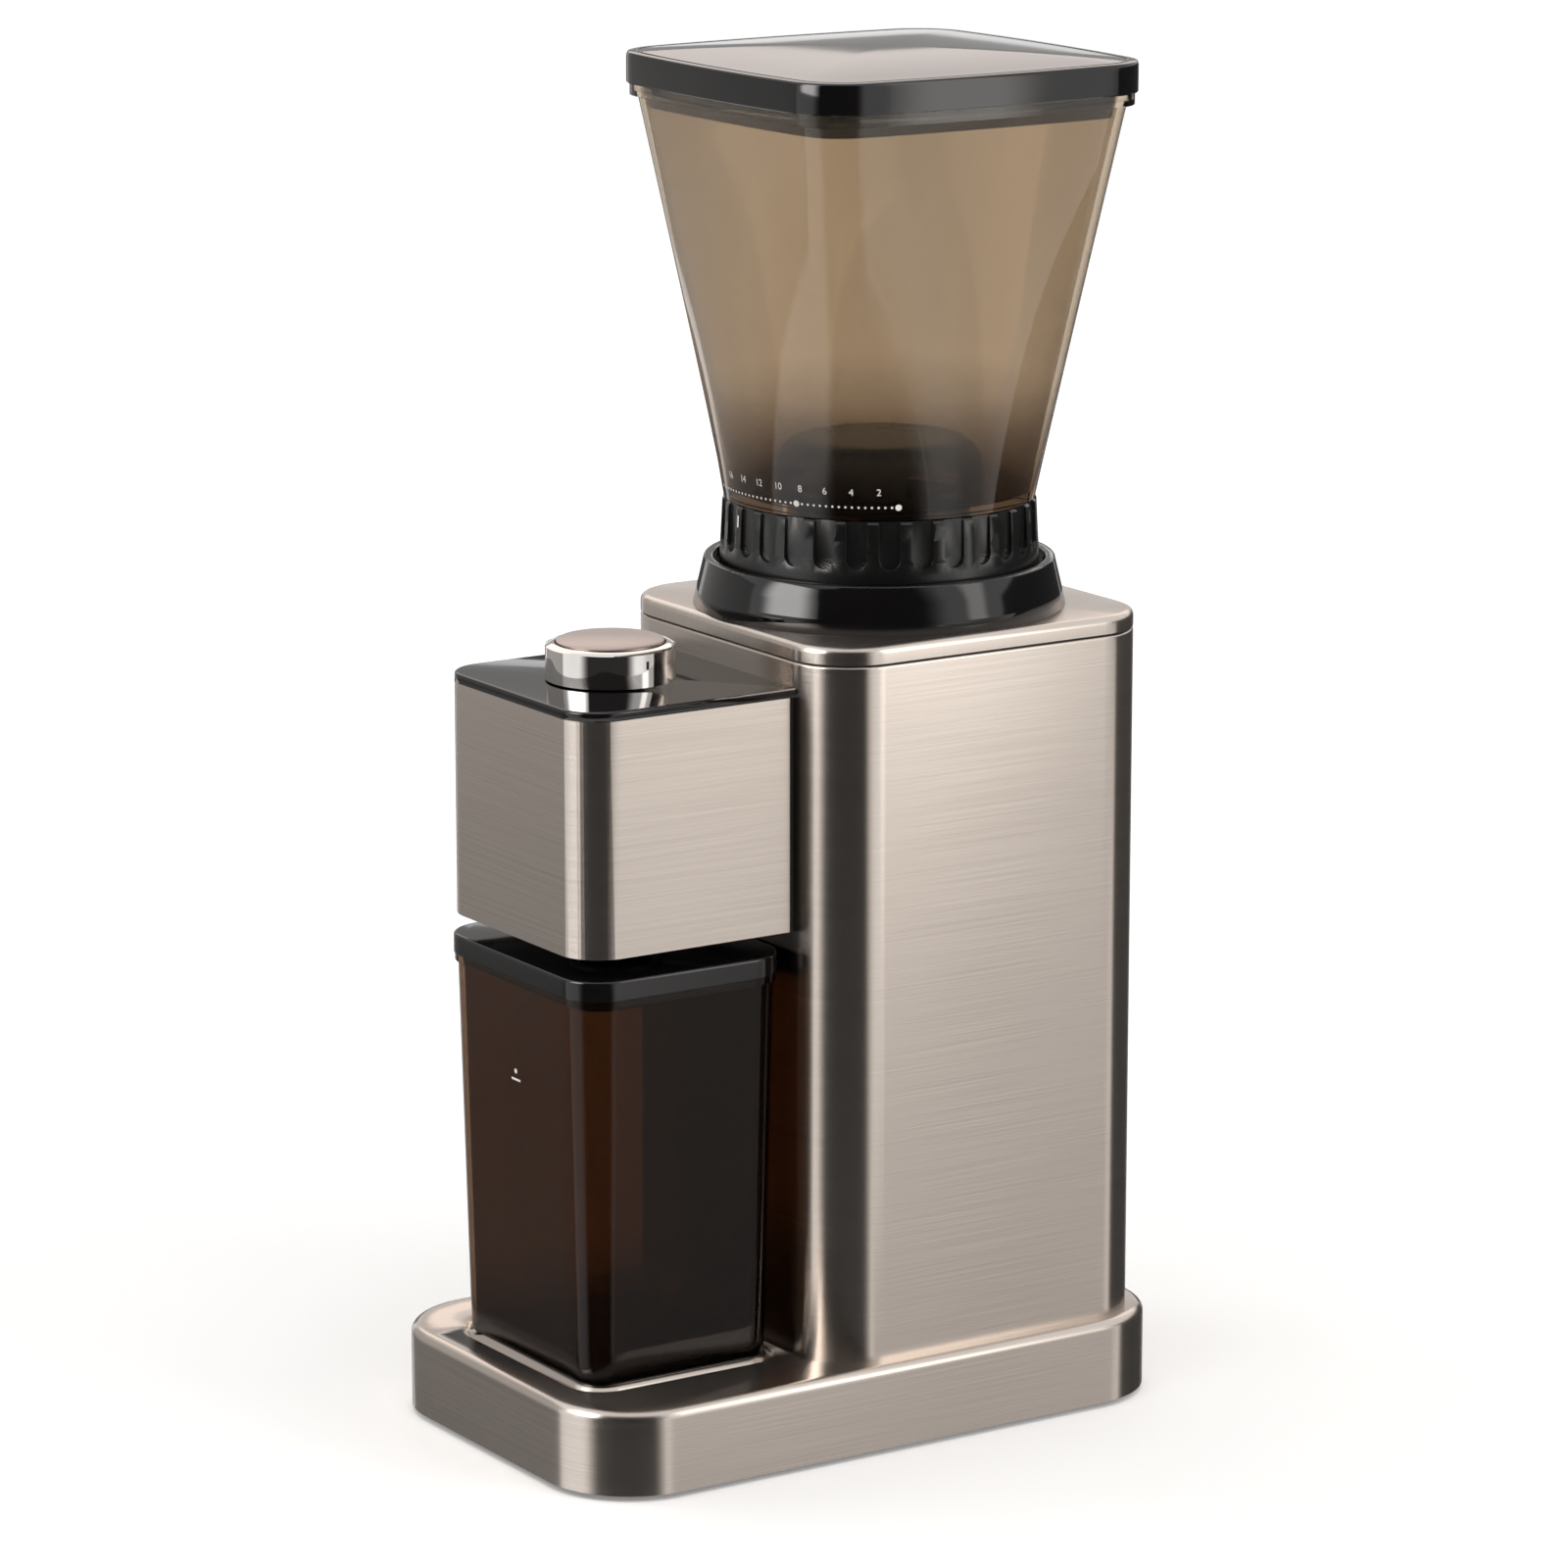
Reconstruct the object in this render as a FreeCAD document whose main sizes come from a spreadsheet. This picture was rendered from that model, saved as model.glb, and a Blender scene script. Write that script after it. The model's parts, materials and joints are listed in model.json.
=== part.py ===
"""Burr coffee grinder: a parametric assembly of separate pieces, in millimetres.

Frame: +X to the right and +Y to the rear when the grounds container faces the reader, +Z up.
The origin is on the floor under the middle of the base plate.
"""
import FreeCAD, Part
import math
import os
import types

import Sketcher

Vector = FreeCAD.Vector
UP = Vector(0, 0, 1)

# Driving sizes in millimetres, degrees and counts
SIZES = {
    # base tray and what closes it from below
    "foot_reveal": 1.5,
    "base_length": 210.0,
    "base_width": 131.0,
    "base_height": 25.7,
    "base_corner": 28.6,
    "base_edge": 3.0,
    "sheet": 1.2,
    "base_deck": 2.6,
    "seat_depth": 1.2,
    "seat_width": 2.2,
    "seat_margin": 0.8,
    "bottom_recess": 0.8,
    "bottom_thickness": 2.5,
    "panel_gap": 0.3,
    "foot_radius": 9.0,
    "foot_peg_radius": 3.5,
    "foot_spread": 92.0,
    "foot_stagger": 160.0,
    "boss_radius": 4.5,
    "boss_spread": 92.0,
    "boss_stagger": 118.0,
    "vent_length": 44.0,
    "vent_width": 3.0,
    "vent_pitch": 8.0,
    "vent_count": 7,
    "board_lift": 5.2,
    "board_thickness": 1.6,
    "power_board_width": 84.0,
    "power_board_depth": 54.0,
    "standoff_radius": 2.5,
    "transformer_width": 28.0,
    "transformer_depth": 27.0,
    "transformer_height": 11.0,
    "transformer_x": -14.0,
    "capacitor_radius": 5.0,
    "capacitor_height": 9.5,
    "capacitor_x": 17.0,
    "capacitor_spread": 18.0,
    "cord_height": 13.6,
    "gland_nose_radius": 6.0,
    "gland_flange_radius": 8.5,
    "gland_flange": 2.4,
    "gland_length": 12.0,
    "cord_bore_radius": 3.6,
    # tower
    "tower_setback": 6.65,
    "tower_depth": 119.4,
    "tower_width": 119.2,
    "tower_corner": 20.2,
    "tower_height": 213.3,
    "tower_rim": 0.8,
    "seam_gap": 0.6,
    "seam_inset": 0.6,
    "plate_height": 5.2,
    "plate_edge": 2.2,
    "axis_forward": 2.4,
    "neck_window_width": 56.0,
    "neck_window_height": 56.0,
    "neck_window_drop": 5.5,
    # inner frame
    "frame_gap": 0.8,
    "frame_deck": 5.0,
    "post_radius": 6.0,
    "post_inset": 14.0,
    # collar and adjusting ring
    "collar_foot_radius": 56.6,
    "collar_top_radius": 53.2,
    "collar_height": 14.5,
    "collar_lip": 2.8,
    "collar_spigot": 5.0,
    "collar_spigot_radius": 49.6,
    "collar_bore_radius": 43.6,
    "spigot_gap": 0.3,
    "ring_rise": 32.8,
    "ring_seat": 6.0,
    "ring_gap": 0.4,
    "ring_foot_radius": 48.9,
    "ring_top_radius": 47.6,
    "ring_bore_radius": 42.6,
    "ring_groove_radius": 46.2,
    "ring_groove_height": 10.0,
    "ring_bevel": 0.9,
    "flute_count": 30,
    "flute_width": 6.4,
    "flute_depth": 0.9,
    "flute_foot": 14.6,
    # mill
    "mill_bore_radius": 34.5,
    "mill_wall": 3.0,
    "mill_floor": 7.6,
    "mill_depth": 42.4,
    "mill_flange": 5.0,
    "mill_flange_radius": 49.0,
    "port_width": 27.0,
    "port_height": 15.0,
    "port_reach": 44.0,
    "port_wall": 2.5,
    "running_gap": 0.3,
    "carrier_depth": 20.3,
    "carrier_height": 38.0,
    "throat_radius": 26.0,
    "funnel_radius": 31.0,
    "funnel_depth": 12.0,
    "lug_width": 11.0,
    "lug_height": 4.0,
    "lug_lift": 30.0,
    "lug_reach": 45.4,
    "lug_play": 3.0,
    "burr_radius": 30.0,
    "burr_height": 20.0,
    "burr_band": 8.0,
    "burr_gap": 1.0,
    "cone_foot_radius": 24.2,
    "cone_band_radius": 22.3,
    "cone_top_radius": 9.0,
    "cone_height": 28.0,
    "ring_burr_mouth": 20.6,
    "coarse_teeth": 6,
    "fine_teeth": 24,
    "coarse_depth": 3.0,
    "fine_depth": 1.0,
    "tooth_lead": 32.0,
    "sweeper_gap": 1.0,
    "sweeper_disc": 3.0,
    "sweeper_lift": 2.4,
    "sweeper_hub_radius": 11.0,
    "paddle_height": 9.0,
    "paddle_thickness": 2.6,
    "paddle_count": 4,
    "shaft_radius": 4.0,
    "shaft_clearance": 1.0,
    "bearing_radius": 11.0,
    "bearing_width": 7.0,
    "bearing_play": 0.05,
    # gear train and motor
    "gear_module": 1.0,
    "pinion_teeth": 14,
    "wheel_teeth": 44,
    "gear_backlash": 0.24,
    "wheel_face": 8.0,
    "pinion_face": 10.0,
    "gear_gap": 1.5,
    "gearbox_wall": 2.6,
    "gearbox_clearance": 1.2,
    "gearbox_floor": 4.0,
    "gearbox_cover": 8.0,
    "ear_radius": 5.2,
    "ear_reach": 4.0,
    "pin_radius": 3.0,
    "motor_radius": 26.0,
    "motor_length": 66.0,
    "motor_edge": 2.5,
    "motor_boss_radius": 9.0,
    "motor_boss": 3.4,
    "motor_cap_radius": 22.0,
    "motor_cap": 7.0,
    "motor_shaft_radius": 2.5,
    # grounds chute and head
    "chute_width": 32.0,
    "chute_wall": 1.6,
    "chute_drop": 25.0,
    "head_reach": 73.35,
    "head_width": 83.0,
    "head_corner": 13.0,
    "head_lift": 131.9,
    "head_height": 71.0,
    "head_strip": 4.0,
    "head_neck": 4.0,
    "neck_inset": 1.0,
    "head_wall": 2.2,
    "head_floor": 2.5,
    "head_floor_recess": 1.5,
    "cap_height": 2.8,
    "cap_edge": 0.8,
    "spout_reach": 37.0,
    "spout_radius": 14.0,
    "spout_bore_radius": 11.5,
    "spout_flange": 3.0,
    "spout_flange_radius": 17.5,
    # dial and start button
    "dial_reach": 38.45,
    "dial_radius": 19.4,
    "dial_gap": 0.5,
    "dial_height": 10.8,
    "dial_bevel": 1.8,
    "dial_rim": 2.8,
    "dial_cup": 6.2,
    "dial_stem_radius": 6.0,
    "dial_stem_bore": 3.4,
    "dial_stem": 12.0,
    "stem_gap": 0.3,
    "button_gap": 0.4,
    "button_proud": 1.0,
    "button_thickness": 3.6,
    "button_crown": 0.5,
    "button_stem_radius": 3.0,
    "button_travel": 2.0,
    "board_drop": 14.5,
    "board_post_radius": 3.0,
    "timer_board_width": 56.0,
    "timer_board_depth": 50.0,
    "encoder_radius": 11.5,
    "encoder_height": 8.0,
    "encoder_bore": 4.6,
    "switch_size": 5.6,
    "switch_height": 3.4,
    "plunger_radius": 1.4,
    "plunger_insert": 1.2,
    # hopper, its guard and its lid
    "hopper_height": 123.1,
    "hopper_foot_radius": 47.2,
    "hopper_wall": 2.6,
    "hopper_floor": 3.0,
    "hopper_mouth_radius": 27.5,
    "hopper_neck": 14.0,
    "hopper_neck_wall": 2.9,
    "neck_gap": 0.5,
    "rim_height": 3.6,
    "rim_inset": 1.0,
    "guard_radius": 31.0,
    "guard_side": 10.0,
    "guard_crown": 5.0,
    "guard_round": 8.9,
    "guard_wall": 2.2,
    "guard_window_width": 20.0,
    "guard_window_height": 8.0,
    "lid_half_width": 62.0,
    "lid_side_radius": 500.0,
    "lid_corner": 18.0,
    "lid_overhang": 2.6,
    "lid_band": 9.4,
    "lid_crown": 2.9,
    "lid_crown_inset": 14.0,
    "lid_shoulder": 1.2,
    "lid_wall": 2.4,
    "lid_plug": 7.0,
    "lid_plug_gap": 2.2,
    "seal_height": 3.0,
    "seal_gap": 1.4,
    "seal_drop": 1.2,
    # grounds container and its lid
    "container_clear": 2.25,
    "container_width": 82.5,
    "container_depth": 70.7,
    "container_height": 119.6,
    "container_corner": 12.0,
    "container_draft": 3.0,
    "container_wall": 2.2,
    "container_floor": 3.0,
    "container_edge": 2.0,
    "container_rim": 0.9,
    "container_rim_height": 2.4,
    "cover_overhang": 1.25,
    "cover_band": 6.0,
    "cover_top": 3.0,
    "cover_wall": 2.2,
    "cover_edge": 1.0,
    "cover_plug": 4.0,
    "cover_plug_gap": 1.2,
    "cover_seal_gap": 0.5,
    "cover_seal": 2.0,
    "cover_mouth_radius": 20.0,
    "cover_skirt": 8.0,
    # fasteners
    "screw_radius": 1.6,
    "screw_head_radius": 3.2,
    "screw_head": 2.0,
    "frame_screw_radius": 2.0,
    "frame_screw_depth": 12.0,
    "burr_screw_radius": 2.5,
    "burr_screw_head_radius": 6.5,
    "burr_screw_head": 4.0,
    "burr_screw_depth": 14.0,
}

# Tooth form of the spur gears: shares of the module, and the pressure angle
PRESSURE_ANGLE = math.radians(20)
ADDENDUM = 0.8
DEDENDUM = 1.05

# Burr teeth: width of a groove as a share of the tooth spacing, the share of it on the leading side,
# how far the cutters stand proud of the surface in millimetres, and the coarse grooves' depth at their foot
GROOVE_SHARE = 0.8
LEADING_SHARE = 0.2
CUTTER_PROUD = 0.6
COARSE_FOOT = 0.3

# Nearness in millimetres that counts as the same level
SAME = 1e-3


class Size:
    """A length that carries its number and the sheet expression that it follows."""

    def __init__(self, value, text):
        self.value = value
        self.text = text

    def __add__(self, other):
        return Size(self.value + value_of(other), f"({self.text} + {text_of(other)})")

    def __sub__(self, other):
        return Size(self.value - value_of(other), f"({self.text} - {text_of(other)})")

    def __mul__(self, other):
        return Size(self.value * value_of(other), f"({self.text} * {text_of(other)})")

    def __truediv__(self, other):
        return Size(self.value / value_of(other), f"({self.text} / {text_of(other)})")

    def __neg__(self):
        return Size(-self.value, f"(0 - {self.text})")


def value_of(length):
    """Number of a size, or of a plain number."""
    return length.value if isinstance(length, Size) else float(length)


def text_of(length):
    """Expression of a size, or of a plain number."""
    return length.text if isinstance(length, Size) else f"({float(length)})"


doc = FreeCAD.newDocument("burr_coffee_grinder")
sheet = doc.addObject("Spreadsheet::Sheet", "sizes")
for row, (alias, amount) in enumerate(SIZES.items(), start=1):
    sheet.set(f"A{row}", alias)
    sheet.set(f"B{row}", str(amount))
    sheet.setAlias(f"B{row}", alias)
doc.recompute()
s = types.SimpleNamespace(**{name: Size(float(sheet.get(name)), f"sizes.{name}") for name in SIZES})

# Levels above the floor
base_bottom = s.foot_reveal
base_top = base_bottom + s.base_height
deck_underside = base_top - s.base_deck
bottom_low = base_bottom + s.bottom_recess
bottom_high = bottom_low + s.bottom_thickness
tower_top = base_top + s.tower_height
plate_bottom = tower_top + s.seam_gap
plate_top = plate_bottom + s.plate_height
collar_top = plate_top + s.collar_height
ring_bottom = plate_top + s.ring_seat
ring_top = plate_top + s.ring_rise
hopper_bottom = ring_top + s.ring_gap
hopper_inside = hopper_bottom + s.hopper_floor
hopper_top = hopper_bottom + s.hopper_height
flange_top = plate_top - s.collar_spigot
flange_bottom = flange_top - s.mill_flange
mill_inside = plate_top - s.mill_depth
mill_bottom = mill_inside - s.mill_floor
burr_bottom = plate_top - s.carrier_depth
cone_top = burr_bottom + s.cone_height
cover_bottom = mill_bottom - s.gearbox_cover
wheel_low = cover_bottom - s.gear_gap - s.wheel_face
shaft_bottom = wheel_low - s.gear_gap / 2
pinion_high = shaft_bottom - s.gear_gap / 2
pinion_low = pinion_high - s.pinion_face
gearbox_inside = pinion_low - s.gear_gap * 2
gearbox_bottom = gearbox_inside - s.gearbox_floor
motor_low = gearbox_bottom - s.motor_length
head_bottom = base_top + s.head_lift
head_top = head_bottom + s.head_height
cap_top = head_top + s.cap_height
head_floor_low = head_bottom + s.head_floor_recess
head_floor_high = head_floor_low + s.head_floor
chute_low = head_floor_high + s.spout_flange
dial_low = cap_top + s.dial_gap
dial_top = dial_low + s.dial_height
dial_floor = dial_top - s.dial_cup
button_top = dial_top + s.button_proud
board_top = head_top - s.board_drop
container_top = base_top + s.container_height

# Places on the plan
base_back = s.base_length / 2
tower_back = base_back - s.tower_setback
tower_front = tower_back - s.tower_depth
tower_middle = tower_back - s.tower_depth / 2
axis_y = tower_middle - s.axis_forward
head_front = tower_front - s.head_reach
strip_back = tower_front - s.head_neck
wrap_back = strip_back - s.head_strip
spout_y = tower_front - s.spout_reach
dial_y = tower_front - s.dial_reach
container_y = tower_front - s.container_clear - s.container_depth / 2
gear_spacing = s.gear_module * (s.pinion_teeth + s.wheel_teeth) / 2
counter_y = axis_y + gear_spacing
mill_outer = s.mill_bore_radius + s.mill_wall

pieces = []


def bind(item, path, length):
    """Ties a property of a document object to the sheet."""
    item.setExpression(path, text_of(length))


def new_body(name, y=0.0, z=0.0):
    """Empty body of one piece, standing at a place on the middle plane."""
    body = doc.addObject("PartDesign::Body", name)
    body.Label = name
    bind(body, "Placement.Base.y", y)
    bind(body, "Placement.Base.z", z)
    pieces.append(body)
    return body


def new_piece(name, shape, y=0.0, z=0.0):
    """Piece whose shape is worked out here, standing at a place on the middle plane."""
    piece = doc.addObject("Part::Feature", name)
    piece.Label = name
    piece.Shape = shape
    bind(piece, "Placement.Base.y", y)
    bind(piece, "Placement.Base.z", z)
    pieces.append(piece)
    return piece


def new_sketch(body, plane, level=0.0):
    """Sketch on an origin plane of its body, moved along the plane's normal."""
    support = next(item for item in body.Origin.OriginFeatures if item.Role == plane)
    sketch = body.newObject("Sketcher::SketchObject", f"{body.Name}_sketch")
    sketch.AttachmentSupport = (support, [""])
    sketch.MapMode = "FlatFace"
    bind(sketch, "AttachmentOffset.Base.z", level)
    return sketch


def constrain(sketch, kind, *parts, length=None):
    """Adds a constraint, tied to the sheet where it has a length."""
    if length is None:
        sketch.addConstraint(Sketcher.Constraint(kind, *parts))
        return
    index = sketch.addConstraint(Sketcher.Constraint(kind, *parts, value_of(length)))
    sketch.setExpression(f"Constraints[{index}]", text_of(length))


def draw_outline(sketch, points):
    """Closed outline of straight lines through the given places."""
    corners = [Vector(value_of(x), value_of(y), 0) for x, y in points]
    lines = []
    for start, end in zip(corners, corners[1:] + corners[:1]):
        lines.append(sketch.addGeometry(Part.LineSegment(start, end)))
    for line, following in zip(lines, lines[1:] + lines[:1]):
        constrain(sketch, "Coincident", line, 2, following, 1)
    for line, (x, y) in zip(lines, points):
        constrain(sketch, "DistanceX", -1, 1, line, 1, length=x)
        constrain(sketch, "DistanceY", -1, 1, line, 1, length=y)


def draw_circle(sketch, x, y, radius):
    """Circle at a place in the sketch."""
    circle = Part.Circle(Vector(value_of(x), value_of(y), 0), UP, value_of(radius))
    index = sketch.addGeometry(circle)
    constrain(sketch, "Radius", index, length=radius)
    constrain(sketch, "DistanceX", -1, 1, index, 3, length=x)
    constrain(sketch, "DistanceY", -1, 1, index, 3, length=y)


def draw_block(sketch, left, right, low, high, corner=None, low_corners_only=False):
    """Upright rectangle, with round corners at all four or only at its two lower ones."""
    x0, x1, y0, y1 = (value_of(side) for side in (left, right, low, high))
    radius = value_of(corner) if corner is not None else 0.0
    top = 0.0 if low_corners_only else radius
    runs = [
        (Vector(x0 + radius, y0, 0), Vector(x1 - radius, y0, 0)),
        (Vector(x1, y0 + radius, 0), Vector(x1, y1 - top, 0)),
        (Vector(x1 - top, y1, 0), Vector(x0 + top, y1, 0)),
        (Vector(x0, y1 - top, 0), Vector(x0, y0 + radius, 0)),
    ]
    centres = [
        (x1 - radius, y0 + radius, radius),
        (x1 - top, y1 - top, top),
        (x0 + top, y1 - top, top),
        (x0 + radius, y0 + radius, radius),
    ]
    lines = [sketch.addGeometry(Part.LineSegment(*run)) for run in runs]
    for turn, (x, y, round_radius) in enumerate(centres):
        line = lines[turn]
        following = lines[(turn + 1) % 4]
        if not round_radius:
            constrain(sketch, "Coincident", line, 2, following, 1)
            continue
        circle = Part.Circle(Vector(x, y, 0), UP, round_radius)
        start = math.radians(90 * turn - 90)
        arc = sketch.addGeometry(Part.ArcOfCircle(circle, start, start + math.pi / 2))
        constrain(sketch, "Tangent", line, 2, arc, 1)
        constrain(sketch, "Tangent", arc, 2, following, 1)
        constrain(sketch, "Radius", arc, length=corner)
    for number, kind in enumerate(("Horizontal", "Vertical", "Horizontal", "Vertical")):
        constrain(sketch, kind, lines[number])
    constrain(sketch, "DistanceY", -1, 1, lines[0], 1, length=low)
    constrain(sketch, "DistanceX", -1, 1, lines[1], 1, length=right)
    constrain(sketch, "DistanceY", -1, 1, lines[2], 1, length=high)
    constrain(sketch, "DistanceX", -1, 1, lines[3], 1, length=left)


def draw_tower_outline(sketch, inset):
    """Rounded outline of the tower, moved inwards by an inset."""
    half = s.tower_width / 2 - inset
    draw_block(sketch, -half, half, tower_front + inset, tower_back - inset, s.tower_corner - inset)


def draw_centred_block(sketch, width, depth, corner=None):
    """Rectangle about the sketch's origin."""
    draw_block(sketch, -width / 2, width / 2, -depth / 2, depth / 2, corner)


def bulged_corner(half_width, side_radius, corner):
    """How far a bulged square's corner centres stand from its axes."""
    back = side_radius - half_width
    reach = side_radius - corner
    return (math.sqrt(2 * reach * reach - back * back) - back) / 2


def bulged_points(inset):
    """Side and corner arcs of the lid's bulged square, as (centre, radius, start, end)."""
    half_width = s.lid_half_width.value - inset
    side_radius = s.lid_side_radius.value - inset
    corner = s.lid_corner.value - inset
    centre = bulged_corner(half_width, side_radius, corner)
    back = side_radius - half_width
    lean = math.atan2(centre, centre + back)
    arcs = []
    for quarter in range(4):
        turn = quarter * math.pi / 2
        side_centre = Vector(-back * math.cos(turn), -back * math.sin(turn), 0)
        arcs.append((side_centre, side_radius, turn - lean, turn + lean))
        diagonal = turn + math.pi / 4
        corner_centre = Vector(math.cos(diagonal), math.sin(diagonal), 0) * (centre * math.sqrt(2))
        arcs.append((corner_centre, corner, turn + lean, turn + math.pi / 2 - lean))
    return arcs


def draw_bulged_square(sketch, inset):
    """The lid's plan, a square with bulged sides and round corners, moved inwards by an inset."""
    arcs = []
    for centre, radius, start, end in bulged_points(value_of(inset)):
        circle = Part.Circle(centre, UP, radius)
        arcs.append(sketch.addGeometry(Part.ArcOfCircle(circle, start, end)))
    for arc, following in zip(arcs, arcs[1:] + arcs[:1]):
        constrain(sketch, "Tangent", arc, 2, following, 1)
    sides = arcs[0::2]
    corners = arcs[1::2]
    constrain(sketch, "Radius", sides[0], length=s.lid_side_radius - inset)
    constrain(sketch, "Radius", corners[0], length=s.lid_corner - inset)
    for side, corner in zip(sides[1:], corners[1:]):
        constrain(sketch, "Equal", sides[0], side)
        constrain(sketch, "Equal", corners[0], corner)
    back = s.lid_side_radius - s.lid_half_width
    for side, x, y in zip(sides, (-back, 0.0, back, 0.0), (0.0, -back, 0.0, back)):
        constrain(sketch, "DistanceX", -1, 1, side, 3, length=x)
        constrain(sketch, "DistanceY", -1, 1, side, 3, length=y)


def add_feature(body, kind, profile):
    """Feature of a body that works on a sketch."""
    feature = body.newObject(f"PartDesign::{kind}", f"{body.Name}_{kind.lower()}")
    feature.Profile = profile
    return feature


def pad(body, sketch, length):
    """Raises a sketch along its normal."""
    feature = add_feature(body, "Pad", sketch)
    bind(feature, "Length", length)
    return feature


def pocket(body, sketch, length, along_normal=False):
    """Cuts a sketch into the body, against its normal unless said otherwise."""
    before = solid_volume(body)
    feature = add_feature(body, "Pocket", sketch)
    bind(feature, "Length", length)
    feature.Reversed = along_normal
    if solid_volume(body) > before - SAME:
        raise RuntimeError(f"a cut in {body.Label} removes nothing")
    return feature


def solid_volume(body):
    """Volume of a body as it stands now."""
    doc.recompute()
    return body.Shape.Volume


def revolve(body, points):
    """Turns an outline of (radius, height) places about the body's own upright axis."""
    sketch = new_sketch(body, "XZ_Plane")
    draw_outline(sketch, points)
    feature = add_feature(body, "Revolution", sketch)
    feature.ReferenceAxis = (sketch, ["V_Axis"])
    feature.Angle = 360
    return sketch


def loft(body, kind, sections):
    """Straight-sided loft, added or cut, through sketches of like outline."""
    feature = add_feature(body, kind, sections[0])
    feature.Sections = sections[1:]
    feature.Ruled = True
    return feature


def repeat_round(body, feature, sketch, count):
    """Repeats a feature evenly round the body's own upright axis."""
    pattern = body.newObject("PartDesign::PolarPattern", f"{body.Name}_pattern")
    pattern.Originals = [feature]
    pattern.Axis = (sketch, ["V_Axis"])
    pattern.Angle = 360
    bind(pattern, "Occurrences", count)
    body.Tip = pattern
    return pattern


def at_level(level):
    """Test for edges that lie at one height."""
    height = value_of(level)

    def lies_there(edge):
        box = edge.BoundBox
        return abs(box.ZMin - height) < SAME and abs(box.ZMax - height) < SAME
    return lies_there


def round_edges(body, radius, chosen):
    """Fillet on the chosen edges of the body as it stands now."""
    doc.recompute()
    base = body.Tip
    names = [f"Edge{number}" for number, edge in enumerate(base.Shape.Edges, 1) if chosen(edge)]
    feature = body.newObject("PartDesign::Fillet", f"{body.Name}_fillet")
    feature.Base = (base, names)
    bind(feature, "Radius", radius)
    return feature


def turned(points):
    """Solid of revolution from (radius, height) numbers."""
    corners = [Vector(radius, 0, height) for radius, height in points]
    face = Part.Face(Part.makePolygon(corners + corners[:1]))
    return face.revolve(Vector(), UP, 360)


def screws_at(places, head_level, shank_end, shank_radius, direction=UP):
    """Group of cap screws whose heads start at a level and whose shanks run along a direction."""
    head_height = s.screw_head.value
    shank = shank_end - head_level
    profile = [
        (0, 0),
        (s.screw_head_radius.value, 0),
        (s.screw_head_radius.value, head_height),
        (shank_radius, head_height),
        (shank_radius, shank),
        (0, shank),
    ]
    turn = FreeCAD.Rotation(UP, direction)
    copies = []
    for x, y, z in places:
        screw = turned(profile)
        screw.Placement = FreeCAD.Placement(Vector(x, y, z), turn)
        copies.append(screw)
    return Part.makeCompound(copies)


def four_places(spread, stagger):
    """The four corners of a rectangle on the plan."""
    half_x = spread / 2
    half_y = stagger / 2
    return [(-half_x, -half_y), (half_x, -half_y), (-half_x, half_y), (half_x, half_y)]


def post_places():
    """Where the inner frame's four posts stand."""
    half = s.tower_width / 2 - s.post_inset
    front = tower_front + s.post_inset
    back = tower_back - s.post_inset
    return [(-half, front), (half, front), (-half, back), (half, back)]


# Base: pressed steel tray, bottom panel, feet, screws, cord gland and power board
def make_base_shell():
    body = new_body("base_shell")
    outer = new_sketch(body, "XY_Plane", base_bottom)
    draw_centred_block(outer, s.base_width, s.base_length, s.base_corner)
    pad(body, outer, s.base_height)
    round_edges(body, s.base_edge, at_level(base_top))
    inner = new_sketch(body, "XY_Plane", base_bottom)
    draw_centred_block(inner, s.base_width - s.sheet * 2, s.base_length - s.sheet * 2,
                       s.base_corner - s.sheet)
    pocket(body, inner, s.base_height - s.base_deck, along_normal=True)
    seat = new_sketch(body, "XY_Plane", base_top)
    foot_width = s.container_width - s.container_draft * 2
    foot_depth = s.container_depth - s.container_draft * 2
    for margin in (s.seat_margin, s.seat_margin + s.seat_width):
        half = foot_width / 2 + margin
        draw_block(seat, -half, half, container_y - foot_depth / 2 - margin,
                   container_y + foot_depth / 2 + margin, s.container_corner - s.container_draft + margin)
    pocket(body, seat, s.seat_depth)
    cord_hole = new_sketch(body, "XZ_Plane", -base_back)
    draw_circle(cord_hole, 0.0, s.cord_height, s.gland_nose_radius)
    pocket(body, cord_hole, s.sheet * 2, along_normal=True)
    holes = new_sketch(body, "XY_Plane", deck_underside)
    for x, y in post_places():
        draw_circle(holes, x, y, s.frame_screw_radius)
    pocket(body, holes, s.base_deck, along_normal=True)


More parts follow.
